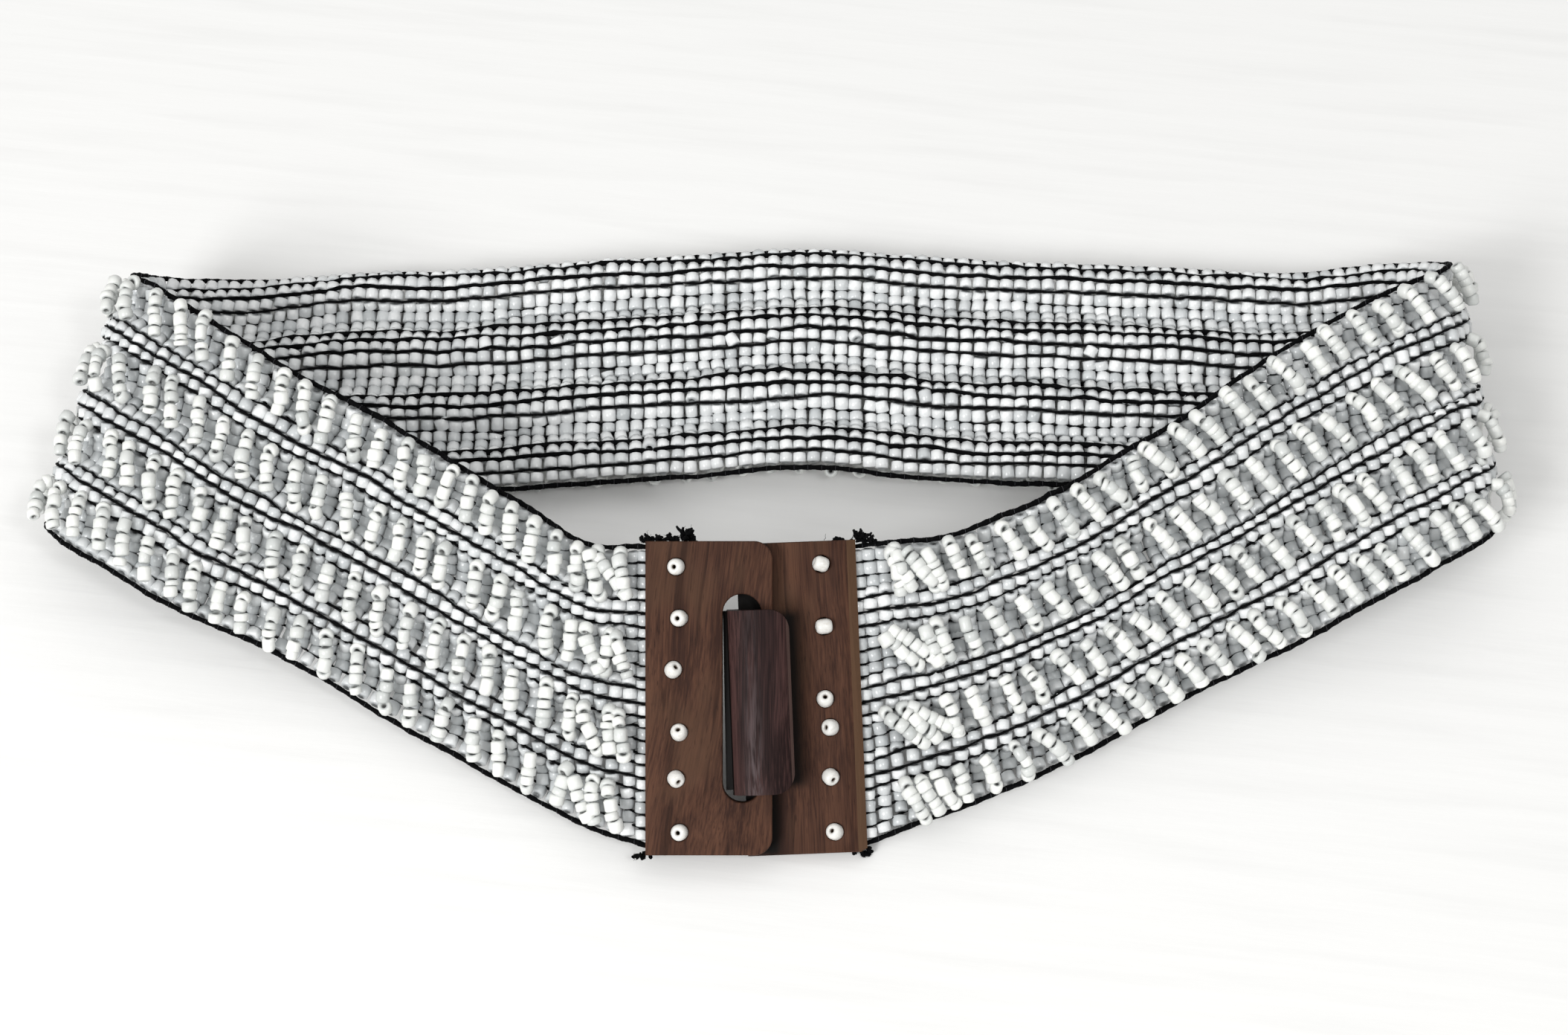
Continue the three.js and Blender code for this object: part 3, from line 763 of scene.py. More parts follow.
def ground_beads(band, seed):
    """Every bead of the woven ground, in three joined pieces of about equal length"""
    rng = np.random.default_rng(seed + 1)
    weave = Weave(band, seed)
    row, column = np.meshgrid(np.arange(ROWS), np.arange(column_count), indexing="ij")
    row, column = row.ravel(), column.ravel()
    count = len(row)
    spacing = band_length / column_count
    sway_length = 0.02
    row_uneven, column_uneven, bead_uneven = 0.00022, 0.00012, 0.00010
    row_sway = [smooth_noise(rng, column_count, spacing, sway_length) for _ in range(ROWS)]
    along = (column + 0.5) * spacing + column_uneven * rng.normal(size=column_count)[column]
    along = along + row_uneven * np.array(row_sway)[row, column]
    along = along + bead_uneven * rng.normal(size=count)
    top = np.empty((count, 2))
    bottom = np.empty((count, 2))
    for line in range(ROWS):
        here = row == line
        top[here] = np.stack(weave.line(line, along[here]), -1)
        bottom[here] = np.stack(weave.line(line + 1, along[here]), -1)
    _, across_line, direction, outward, spread = band_axes(along)
    reach = top - bottom
    reach[:, 0] *= spread
    room = np.linalg.norm(reach, axis=1)

    # A few beads are odd: longer or shorter, and out of line
    odd = rng.random(count) < ODD_SHARE
    on_back = (along > BACK_START) & (along < BACK_END)
    full, looser, bright, valley_shade = (
        np.where(on_back, back, front) for back, front in zip(SEEN_BACK, SEEN_FRONT)
    )
    seen_height = np.where(on_back, -1.0, 1.0) * rib_height(row + 0.5)
    fill = band.bead_fill * (full - looser * np.clip(2 * seen_height, 0, 1))
    lengths = fill * room * (1 + (0.05 + 0.12 * odd) * rng.normal(size=count))
    lengths = np.clip(lengths, SHORTEST_BEAD, LONGEST_BEAD)
    radii = band.bead_diameter / 2 * varied(rng, 1, 0.05, 0.86, 1.08, count)
    across, out = (top + bottom).T / 2
    out = out + (0.00013 + 0.00030 * odd) * rng.normal(size=count)
    usual_tilt = np.radians(4.0)
    tilt, yaw = usual_tilt * rng.normal(size=(2, count)) * (1 + 2.5 * odd)
    level, rise = reach.T / room
    axis = unit(
        across_line * level[:, None] + outward * (rise + tilt)[:, None]
        + direction * yaw[:, None],
    )
    side = unit(np.cross(axis, outward))
    spin = rng.random(count)[:, None] * 2 * math.pi
    side_a = side * np.cos(spin) + np.cross(side, axis) * np.sin(spin)
    centres = above_floor(band_points(along, across, out), radii * FLOOR_ROOM)
    # Painted shade: beads in a rib's valley get a lower tone
    middle_tone = bright - valley_shade * np.clip(-seen_height, 0, 1)
    tones = varied(rng, middle_tone, 0.13, 0.35, 1, count)
    # Painted shade: each ground bead is darker at its rim and its hole
    tones = tones[:, None] * bead_end_shade(GROUND_RINGS, GROUND_SIDES, rim=0.42, hole=0.0)

    beads = (centres, side_a, np.cross(axis, side_a), axis, radii, lengths)
    template = ring_bead(GROUND_RINGS, GROUND_SIDES)
    material = bead_glass("ground_bead_glass", band.bead_colour, 0.26, 0.4)
    third = column * len(GROUND_PIECES) // column_count
    for index, name in enumerate(GROUND_PIECES):
        chosen = third == index
        bead_piece(
            f"ground_beads_{name}", material, template, [part[chosen] for part in beads],
            tones[chosen].ravel(), "woven_beads", "woven_band",
        )


# Elastics and edge cords
def band_elastics(band, seed):
    """The lengthwise elastics between the rows. Each is pressed flat between the beads and lies
    towards the face that its rib shows. On the back it stands square to its rows."""
    rng = np.random.default_rng(seed + 2)
    weave = Weave(band, seed)
    sides = 6
    depth = 2.6
    front_lift, back_lift = 0.00066, 0.00080
    sharpness, inward = 2.2, 0.6
    uneven, uneven_length, uneven_width = 0.00008, 0.006, 0.11
    turn_length = 0.02
    places = np.linspace(0.0, band_length, 2 * column_count + 1)
    on_back = np.minimum(places - BACK_START, BACK_END - places) / turn_length
    on_back = np.clip(on_back, 0, 1)
    lift = front_lift + (back_lift - front_lift) * on_back
    fade = weave.plate_fade(places)
    _, across_line, _, outward, _ = band_axes(places)
    joined = JoinedMesh()
    for line in range(1, ROWS):
        across, out = weave.line(line, places)
        towards = np.clip(sharpness * rib_height(weave.row_place(float(line))), -1, 1)
        towards = np.maximum(towards - inward * on_back, -1)
        push = (towards * fade + (1 - fade)) * lift
        push = push + uneven * smooth_noise(rng, len(places), places[1], uneven_length)
        above, below = weave.line(line - 1, places), weave.line(line + 1, places)
        run = (above[0] - below[0])[:, None]
        rise = (on_back * (above[1] - below[1]))[:, None]
        lying = unit(run * across_line + rise * outward)
        standing = unit(run * outward - rise * across_line)
        radii = band.elastic_diameter / 2 * (1 + uneven_width * rng.normal(size=len(places)))
        centres = band_points(places, across, out) + push[:, None] * standing
        centres = above_floor(centres, radii * depth)
        joined.add(*swept_tube(centres, lying, standing * depth, radii, sides))
    material = wrapped_elastic("band_elastic", band.elastic_colour)
    finish_piece(joined.piece("band_elastics", material), "elastic", "woven_band")


def edge_cord(band, seed, side, name, node):
    """The wrapped elastic along one edge. Its two plies twist half a turn for each column."""
    rng = np.random.default_rng(seed + 3 + side)
    weave = Weave(band, seed)
    line = 0 if side > 0 else ROWS
    sides = 8
    steps = 5
    flatness = 0.8
    places = np.linspace(0.0, band_length, steps * column_count + 1)

    def waver(amount, length):
        return amount * smooth_noise(rng, len(places), places[1], length)

    radius = band.cord_diameter / 2
    seated, lift = 0.6, 0.0006
    across = side * (BAND_WIDTH / 2 + CLEAR_GAP + radius * seated) + weave.shift(line, places)
    across = across + waver(0.00014, 0.005)
    radii = radius * (1 + waver(0.06, 0.003))
    out = lift * weave.plate_fade(places) + waver(0.00014, 0.007)
    _, across_line, _, outward, _ = band_axes(places)
    centres = above_floor(band_points(places, across, out), radii)
    twist = (math.pi * np.arange(len(places)) / steps + waver(0.5, 0.01))[:, None]
    turned = np.cos(twist) * across_line + np.sin(twist) * outward
    upright = np.cos(twist) * outward - np.sin(twist) * across_line
    joined = JoinedMesh()
    joined.add(*swept_tube(centres, turned, upright * flatness, radii, sides))
    material = wrapped_elastic(f"{name}_elastic", band.elastic_colour)
    finish_piece(joined.piece(name, material), "elastic", node)
    return centres[::steps], across_line[::steps], outward[::steps], radii[::steps]


def thread_loops(rings):
    """The clear thread that goes round each edge cord once a column"""
    sides = 3
    corners = 10
    turn = 2 * math.pi * np.arange(corners)[:, None] / corners
    joined = JoinedMesh()
    thread = 0.00005
    cord_share = 0.86
    for cord in rings:
        for centre, across_line, outward, radius in zip(*cord):
            spoke = np.cos(turn) * across_line + np.sin(turn) * outward
            path = centre + spoke * (cord_share * radius + thread)
            forward = np.broadcast_to(np.cross(across_line, outward), spoke.shape)
            joined.add(*swept_tube(path, spoke, forward, np.full(corners, thread), sides, True))
    graph = Graph(bpy.data.materials.new("clear_thread"))
    graph.surface(Base_Color=(0.07, 0.07, 0.08), Roughness=0.3)
    finish_piece(joined.piece("edge_thread_loops", graph.owner), "elastic")


# Raised strands. Their beads press on each other a little, and lie tipped over the floor. Beside
# a plate the strands crowd: how far apart the first ones are, and how far the very first is from
# the plate.
STRAND_RINGS = (
    (-0.42, 0.30), (-0.5, 0.72), (-0.34, 0.99), (0.34, 0.99), (0.5, 0.72), (0.42, 0.30),
)
STRAND_SIDES = 12
PRESSED = 1.03
TIPPED_ROOM = 1.2
CROWDED_PITCHES = {"slotted": (0.0036, 0.0044, 0.0056), "hook": (0.0034, 0.0036, 0.0042, 0.0058)}
STRAND_MARGIN = {"slotted": 0.0066, "hook": 0.0118}
CROWD_REACH = 0.0095

# A strand rises from each foot either steeply or in a round bow: how square its bow is, the
# height of its foot, and how far its bow is drawn in at the foot
STEEP = {"square": 2.6, "foot": 0.0006, "drawn_in": 0.965}
ROUND = {"square": 4.4, "foot": 0.0014, "drawn_in": 0.90}
STEEP_TOP_CHANCE, STEEP_BOTTOM_CHANCE = 0.65, 0.3
BACK_SPAN = 0.88
LEAN_SPREAD, CROWD_LEAN_SPREAD, CROWD_LEAN = 4, 12, 10
CROWD_LIFT = 0.0012


def strand_places(strands, rng):
    """Where the strands of one field start: crowded beside the plates, about even elsewhere"""
    ends = {
        plate: STRAND_MARGIN[plate] + np.concatenate([[0], np.cumsum(CROWDED_PITCHES[plate])])
        for plate in STRAND_MARGIN
    }
    uneven = 0.0006
    left = ends["slotted"] + uneven * rng.normal(size=len(ends["slotted"]))
    right = band_length - ends["hook"][::-1] + uneven * rng.normal(size=len(ends["hook"]))
    between = right[0] - left[-1]
    steps = int(round(between / strands.pitch))
    middle = left[-1] + np.arange(1, steps) * between / steps
    middle = middle + 0.00055 * rng.normal(size=len(middle))
    return np.concatenate([left, middle, right])


def strand_path(strands, base, first, last, rng):
    """Along, across and out of a strand's thread over one field, from its top foot to its bottom
    foot. Beside a plate, strands lie over each other."""
    crowd_start = STRAND_MARGIN["slotted"] + CROWD_REACH
    crowd_end = band_length - STRAND_MARGIN["hook"] - CROWD_REACH
    crowd = 1.0 if base < crowd_start or base > crowd_end else 0.0
    half = strands.half_span + 0.00025 * rng.normal()
    if BACK_START < base < BACK_END:
        half *= BACK_SPAN
    middle = (across_of_row(first) + across_of_row(last)) / 2 + 0.0003 * rng.normal()
    samples = 81
    q = np.linspace(-1, 1, samples)
    crest = strands.crest + 0.00022 * rng.normal() + crowd * CROWD_LIFT * rng.random()
    steep_top, steep_bottom = rng.random() < STEEP_TOP_CHANCE, rng.random() < STEEP_BOTTOM_CHANCE
    steep = np.where(q < 0, steep_top, steep_bottom)
    square, foot, drawn_in = (np.where(steep, STEEP[key], ROUND[key]) for key in STEEP)
    square = square + 0.8 * rng.random()
    bow_height = (1 - (np.abs(q) * drawn_in) ** square) ** (1 / square)
    out = foot + (crest - foot) * bow_height
    across = middle - half * q
    places, degrees = zip(*STRAND_LEANS)
    usual = np.interp(base, places, degrees) + CROWD_LEAN * crowd
    lean_spread = CROWD_LEAN_SPREAD if crowd else LEAN_SPREAD
    lean = math.tan(math.radians(usual + lean_spread * rng.normal()))
    sideways = 0.00035 * rng.normal() * (1 - q * q)
    return np.stack([base + lean * (across - middle) + sideways, across, out])


def strand_beads(strands, seed):
    """The beads of every raised strand, one joined piece for each lengthwise field"""
    rng = np.random.default_rng(seed + 4)
    template = ring_bead(STRAND_RINGS, STRAND_SIDES)
    material = bead_glass("strand_bead_glass", strands.bead_colour, 0.34, 0.2)
    nudges = (-0.0003, 0.0, 0.0003)
    for field, (first, last) in enumerate(RAISED_ROWS):
        nudged, lengths = [[] for _ in nudges], []
        for base in strand_places(strands, rng):
            path = strand_path(strands, base, first, last, rng)
            spread = float(sections_at(base)[SPREAD])
            steps = np.linalg.norm(np.diff(path) * [[1], [spread], [1]], axis=0)
            travelled = np.concatenate([[0.0], np.cumsum(steps)])
            count = max(4, int(round(travelled[-1] / strands.bead_length)))
            share = varied(rng, 1, 0.27, 0.55, 1.7, count)
            share *= travelled[-1] / share.sum()
            middles = np.cumsum(share) - share / 2
            for places, nudge in zip(nudged, nudges):
                places.append([np.interp(middles + nudge, travelled, line) for line in path])
            lengths.append(share)
        behind, here, ahead = (band_points(*np.concatenate(places, 1)) for places in nudged)
        lengths = np.concatenate(lengths)
        count = len(lengths)
        axis = unit(ahead - behind + 0.000065 * rng.normal(size=(count, 3)))
        side_a = unit(np.cross(axis, rng.normal(size=(count, 3))))
        radii = strands.bead_diameter / 2 * varied(rng, 1, 0.075, 0.84, 1.12, count)
        here = above_floor(here + 0.00018 * rng.normal(size=(count, 3)), radii * TIPPED_ROOM)
        tones = varied(rng, 0.78, 0.12, 0.4, 1, count)
        # Painted shade: each strand bead is darker at its rim and its hole
        tones = tones[:, None] * bead_end_shade(STRAND_RINGS, STRAND_SIDES, rim=0.85, hole=0.16)
        beads = (here, side_a, np.cross(axis, side_a), axis, radii, lengths * PRESSED)
        bead_piece(
            f"strand_beads_{field + 1}", material, template, beads, tones.ravel(),
            "strand_beads", f"raised_row_{field + 1}",
        )


# Buckle
def buckle_matrix():
    """From the buckle's own frame to the part's frame"""
    place = Vector(BUCKLE_CENTRE - FOOT_CENTRE)
    return Matrix.Translation(place) @ Matrix.Rotation(BUCKLE_TILT, 4, "X")


def hook_side_matrix():
    """From the hook plate's own frame to the part's frame"""
    place = Vector((*HOOK_PLATE_MIDDLE, 0.0))
    return buckle_matrix() @ Matrix.Translation(place) @ Matrix.Rotation(HOOK_PLATE_TURN, 4, "Z")


def in_hook_frame(x, y):
    offset = Vector((x - HOOK_PLATE_MIDDLE[0], y - HOOK_PLATE_MIDDLE[1], 0.0))
    turned = Matrix.Rotation(-HOOK_PLATE_TURN, 4, "Z") @ offset
    return turned.x, turned.y


def on_hook_plate(x, y):
    """A place on the buckle, across and up the plate with the hook, as its wood counts them"""
    turn = Matrix.Rotation(-HOOK_PLATE_TURN, 4, "Z") @ Matrix.Rotation(-BUCKLE_TILT, 4, "X")
    place = turn @ buckle_matrix() @ Vector((x, y, 0.0))
    return place.x, place.y


def arc(centre_x, centre_y, radius, start, end, steps):
    angles = np.radians(np.linspace(start, end, steps + 1))
    return [(centre_x + radius * math.cos(a), centre_y + radius * math.sin(a)) for a in angles]


def slab(name, outline, holes, bottom, top, rounding):
    """A flat plate with rounded edges from an outline and holes"""
    curve = bpy.data.curves.new(name, "CURVE")
    curve.dimensions = "2D"
    curve.fill_mode = "BOTH"
    curve.extrude = (top - bottom) / 2 - rounding
    curve.bevel_depth = rounding
    curve.bevel_resolution = 3
    curve.offset = -rounding
    for loop in (outline, *holes):
        spline = curve.splines.new("POLY")
        spline.points.add(len(loop) - 1)
        for point, (x, y) in zip(spline.points, loop):
            point.co = (x, y, 0.0, 1.0)
        spline.use_cyclic_u = True
    obj = linked(bpy.data.objects.new(name, curve))
    obj.location.z = (top + bottom) / 2
    return baked_copy(obj, name)


def baked_copy(obj, name):
    """A mesh object with the shape that obj has now, its place included. obj is removed."""
    bpy.context.view_layer.update()
    graph = bpy.context.evaluated_depsgraph_get()
    evaluated = obj.evaluated_get(graph)
    mesh = bpy.data.meshes.new_from_object(evaluated)
    mesh.transform(obj.matrix_world)
    bpy.data.objects.remove(obj)
    mesh.name = name
    return linked(bpy.data.objects.new(name, mesh))


def prism(name, loop, low, high, axis="Z"):
    """A straight body from a loop of points. For axis Y the loop lies in X and Z."""
    count = len(loop)
    points = []
    for depth in (low, high):
        for a, b in loop:
            points.append((a, b, depth) if axis == "Z" else (a, depth, b))
    faces = [tuple(range(count)), tuple(range(2 * count - 1, count - 1, -1))]
    for i in range(count):
        j = (i + 1) % count
        faces.append((j, i, i + count, j + count))
    mesh = bpy.data.meshes.new(name)
    mesh.from_pydata(points, [], faces)
    mesh.update()
    obj = linked(bpy.data.objects.new(name, mesh))
    face_out(mesh)
    return obj


def face_out(mesh):
    work = bmesh.new()
    work.from_mesh(mesh)
    bmesh.ops.recalc_face_normals(work, faces=work.faces)
    work.to_mesh(mesh)
    work.free()


def combined(obj, other, operation):
    """obj joined with or cut by other, which is removed"""
    name = obj.name
    step = obj.modifiers.new("combine", "BOOLEAN")
    step.operation = operation
    step.solver = "EXACT"
    step.object = other
    result = baked_copy(obj, name)
    bpy.data.objects.remove(other)
    return result


def box_loop(left, right, bottom, top):
    return [(left, bottom), (right, bottom), (right, top), (left, top)]


def rounded_edges(obj, width):
    """Edges that turn by more than sharp_angle degrees are rounded"""
    sharp_angle = 35
    name = obj.name
    step = obj.modifiers.new("round", "BEVEL")
    step.width = width
    step.segments = 3
    step.limit_method = "ANGLE"
    step.angle_limit = math.radians(sharp_angle)
    step.use_clamp_overlap = True
    return baked_copy(obj, name)


def painted(obj, material):
    obj.data.materials.clear()
    obj.data.materials.append(material)


def finish_wood(obj, matrix, material, slot, node):
    """Puts a wooden piece in place, smooths its faces up to its edges and finishes it"""
    sharp_angle = 40
    obj.data.transform(matrix)
    obj.data.shade_smooth()
    obj.data.set_sharp_from_angle(angle=math.radians(sharp_angle))
    painted(obj, material)
    finish_piece(obj, slot, node)


def bead_holes(plate):
    holes = []
    for name, x, y, *_ in PLUG_BEADS:
        if name != plate:
            continue
        if plate == "hook":
            x, y = in_hook_frame(x, y)
        holes.append(arc(x, y, BEAD_HOLE / 2, 0, 360 - 15, 23))
    return holes


# How far a cutter reaches past what it cuts, and the roughness and shine of the plates
SPARE = 0.001
PLATE_FINISH = (0.62, 0.12)


def slotted_plate(buckle):
    """The plate with the long slot: square at the band's end, with round corners at the other"""
    half = PLATE_HEIGHT / 2
    right = SLOTTED_LEFT + SLOTTED_WIDTH
    corner_x = right - SLOTTED_CORNER
    corner_y = half - SLOTTED_CORNER
    outline = [(SLOTTED_LEFT, -half)]
    outline += arc(corner_x, -corner_y, SLOTTED_CORNER, -90, 0, 12)
    outline += arc(corner_x, corner_y, SLOTTED_CORNER, 0, 90, 12)
    outline.append((SLOTTED_LEFT, half))
    radius = (SLOT["right"] - SLOT["left"]) / 2
    middle = (SLOT["right"] + SLOT["left"]) / 2
    slot = arc(middle, SLOT["top"] - radius, radius, 0, 180, 20)
    slot += arc(middle, SLOT["bottom"] + radius, radius, 180, 360, 20)
    holes = [slot, *bead_holes("slotted")]
    plate = slab("plate_slotted_wood", outline, holes, 0.0, PLATE_THICKNESS, buckle.edge_round)
    rebate_right = SLOTTED_LEFT + REBATE_WIDTH
    loop = box_loop(SLOTTED_LEFT - SPARE, rebate_right, -half - SPARE, half + SPARE)
    plate = combined(plate, prism("rebate", loop, -SPARE, REBATE_ROOF), "DIFFERENCE")
    wood = grained_wood(
        "plate_wood", buckle.plate_light, buckle.plate_dark, (0.3, 0, 0), math.radians(7),
        *PLATE_FINISH,
    )
    finish_wood(plate, buckle_matrix(), wood, "plate_wood", "plate_slotted")


def curve_points(start, control, end, steps):
    """Points of a quadratic curve, without its start"""
    points = []
    for i in range(1, steps + 1):
        t = i / steps
        keep = (1 - t) ** 2
        pull = 2 * t * (1 - t)
        points.append(tuple(
            keep * s + pull * c + t * t * e for s, c, e in zip(start, control, end)
        ))
    return points


def hook_body():
    """The hook: its section is drawn out along the plate and its tip's corners are round"""
    clear, lip_height, slope = 0.0004, 0.0024, 0.006
    seat = PLATE_THICKNESS + clear
    left, right, low, high = HOOK["left"], HOOK["right"], HOOK["bottom"], HOOK["top"]
    lip = (right, seat + lip_height)
    flat = (right - slope, HOOK_CROWN)
    section = [(left, -PLATE_STEP), (HOOK["neck_right"], -PLATE_STEP), (HOOK["neck_right"], seat)]
    section += [(right, seat), lip]
    section += curve_points(lip, (right - 0.0014, HOOK_CROWN - 0.0005), flat, 10)
    section += curve_points(flat, (left + 0.0006, HOOK_CROWN), (left, seat), 14)
    bar = prism("plate_hook_wood", section, low, high, "Y")

    # A ledge beside the neck, a little wider at its lower end. It is painted near black: painted
    # shade in the slot beside the hook
    ledge_low, ledge_high = left - 0.0017, left - 0.0008
    inside = left + 0.002
    shade_ledge = [
        (ledge_low, low + 0.001), (inside, low + 0.001),
        (inside, high - 0.0002), (ledge_high, high - 0.0002),
    ]
    bar = combined(bar, prism("neck", shade_ledge, -PLATE_STEP, PLATE_THICKNESS - 0.0018), "UNION")
    corner = 0.005
    x = right - corner
    far_left = ledge_low - SPARE
    plan = [(far_left, low - SPARE), (x, low - SPARE)]
    plan += arc(x, low + corner, corner, -90, 0, 14)
    plan += arc(x, high - corner, corner, 0, 90, 14)
    plan += [(x, high + SPARE), (far_left, high + SPARE)]
    cutter = prism("tip", plan, -PLATE_STEP - SPARE, HOOK_CROWN + SPARE)
    return combined(bar, cutter, "INTERSECT")


def hook_plate(buckle):
    """The plate with the hook. Its right edge is bevelled and its lower corner is cut."""
    half_width = HOOK_PLATE_WIDTH / 2
    half = PLATE_HEIGHT / 2
    bottom = -PLATE_STEP
    top = bottom + PLATE_THICKNESS
    cut = 0.0016
    outline = [
        (-half_width, -half), (half_width - cut, -half), (half_width, -half + cut / 2),
        (half_width, half), (-half_width, half),
    ]
    plate = slab("plate_right", outline, bead_holes("hook"), bottom, top, buckle.edge_round)
    bevel_start, bevel_drop = half_width - 0.0022, 0.00232
    past_edge = half_width + SPARE
    bevel = [
        (bevel_start, top), (past_edge, top - bevel_drop),
        (past_edge, top + SPARE), (bevel_start, top + SPARE),
    ]
    plate = combined(plate, prism("bevel", bevel, -half - SPARE, half + SPARE, "Y"), "DIFFERENCE")
    loop = box_loop(half_width - REBATE_WIDTH, past_edge, -half - SPARE, half + SPARE)
    rebate = prism("rebate", loop, bottom - SPARE, bottom + REBATE_ROOF)
    plate = combined(plate, rebate, "DIFFERENCE")

    # Where painted shadow and highlight go. Columns of each painted shadow: right edge, fade,
    # low, high, strength
    middle_across, middle_upward = on_hook_plate(*HOOK_PLATE_MIDDLE)
    slotted_right, _ = on_hook_plate(SLOTTED_LEFT + SLOTTED_WIDTH, 0.0)
    hook_left, hook_right = (middle_across + HOOK[side] for side in ("left", "right"))
    hook_low, hook_high = (middle_upward + HOOK[side] for side in ("bottom", "top"))
    shadowed = (
        # Painted shadow under the slotted plate, in its slot, and fading out past its right edge
        (slotted_right - 0.0012, 0.0036, middle_upward - half, middle_upward + half, 1.0),
        # Painted shadow cast by the hook to its right
        (hook_right + 0.0004, 0.0042, hook_low + 0.001, hook_high - 0.001, 0.95),
    )
    # Painted shade: the wood left of the hook, on the ledge, is near black
    shade_ledge = (hook_left + 0.0003, 0.0001, -1.0, 1.0, 1.0)
    # Painted highlight down the hook's crown
    highlight_and_fuzz = (hook_left + 0.0055, hook_low, hook_high)
    plate_wood = grained_wood(
        "hook_plate_wood", scaled(buckle.plate_light, 0.92), buckle.plate_dark, (0.7, 0.2, 0),
        math.radians(-2), *PLATE_FINISH, middle_across + bevel_start, shadowed,
    )
    hook_wood = grained_wood(
        "hook_wood", buckle.hook_light, buckle.hook_dark, (1.1, 0.5, 0), 0.0, 0.5, 0.10,
        hook_right - 0.0007, (shade_ledge,), highlight_and_fuzz,
    )
    hook = rounded_edges(hook_body(), 0.0005)
    finish_wood(plate, hook_side_matrix(), plate_wood, "plate_wood", "plate_hook")
    finish_wood(hook, hook_side_matrix(), hook_wood, "hook_wood", "plate_hook")


PLUG_RINGS = (
    (-0.30, 0.21), (-0.44, 0.27), (-0.5, 0.44), (-0.47, 0.66), (-0.36, 0.87), (-0.18, 0.98),
    (0.18, 0.98), (0.36, 0.87), (0.47, 0.66), (0.5, 0.44), (0.44, 0.27), (0.30, 0.21),
)
PLUG_TONES = (0.0, 0.62, 1, 1, 1, 1, 1, 1, 1, 1, 0.62, 0.0)
PLUG_SIDES = 24
LYING_TIP, LYING_RADIUS, LYING_LIFT = 60, 0.00188, 0.0006


def plug_glass(colour):
    """White glass with a stained hole"""
    graph = Graph(bpy.data.materials.new("plug_bead_glass"))
    smears = graph.noise(graph.place(), 900.0).above(0.52, 0.72)
    body = graph.mix(0.35 * smears, colour, (0.48, 0.43, 0.36))
    base = graph.mix(graph.tone(), (0.06, 0.035, 0.02), body)
    graph.surface(Base_Color=base, Roughness=0.3, Coat_Weight=0.15, Coat_Roughness=0.1)
    return graph.owner


def plug_beads(buckle):
    """Each bead stands in its hole, or lies on its side over it"""
    material = plug_glass((0.74, 0.73, 0.70))
    template = ring_bead(PLUG_RINGS, PLUG_SIDES)
    tones = np.repeat(PLUG_TONES, PLUG_SIDES)
    for number, (plate, x, y, tip, towards, length) in enumerate(PLUG_BEADS, start=1):
        lying = tip > LYING_TIP
        radius = LYING_RADIUS if lying else buckle.plug_diameter / 2
        top = PLATE_THICKNESS if plate == "slotted" else PLATE_THICKNESS - PLATE_STEP
        height = top + (LYING_LIFT if lying else 0.0)
        matrix = buckle_matrix()
        if plate == "hook":
            x, y = in_hook_frame(x, y)
            matrix = hook_side_matrix()
        place = matrix @ Matrix.Translation((x, y, height))
        place = place @ Matrix.Rotation(math.radians(towards), 4, "Z")
        place = place @ Matrix.Rotation(math.radians(tip), 4, "Y")
        axes = np.array(place.to_3x3()).T[:, None]
        bead = (np.array([place.translation]), *axes, np.array([radius]), np.array([length]))
        bead_piece(
            f"plug_bead_{number}_glass", material, template, bead, tones, "strand_beads",
            f"plug_bead_{number}",
        )


# Cut ends of the elastics beside the plates, in the buckle's frame: place, reach, and how many
# thick ends and loose hairs
THREAD_TUFTS = (
    (-0.0268, 0.0380, 0.0010, 0.0014, 12, 6),
    (-0.0243, 0.0381, 0.0012, 0.0013, 11, 6),
    (-0.0204, 0.0381, 0.0012, 0.0014, 12, 8),
    (-0.0172, 0.0387, 0.0012, 0.0021, 24, 22),
    (0.0196, 0.0378, -0.0036, 0.0010, 9, 6),
    (0.0250, 0.0386, -0.0034, 0.0019, 18, 18),
    (0.0279, 0.0378, -0.0040, 0.0013, 9, 6),
    (-0.0280, -0.0380, 0.0006, 0.0014, 10, 12),
    (0.0262, -0.0376, -0.0040, 0.0013, 9, 10),
)


def cut_end(rng, place, reach, outward, thickness):
    """One curled thread end: its path in the buckle's frame and its radii"""
    points = 8
    deepest = 0.0010
    kink = 0.00012
    start_spread = (0.0009, 0.0003, 0.0005)
    start = place + rng.normal(size=3) * start_spread
    aim = unit(np.array([0.0, outward * 0.9, 0.3]) + 0.8 * rng.normal(size=3))
    curl = 0.6 * rng.normal(size=3)
    t = np.linspace(0, 1, points)[:, None]
    path = start + reach * (0.3 + 0.6 * rng.random()) * (aim * t + curl * t * t)
    path = path + kink * rng.normal(size=path.shape)
    path[:, 1] = outward * np.maximum(outward * path[:, 1], outward * place[1] - deepest)
    swell = np.sin(np.linspace(0.7, 2.6, points))
    return path, thickness * swell


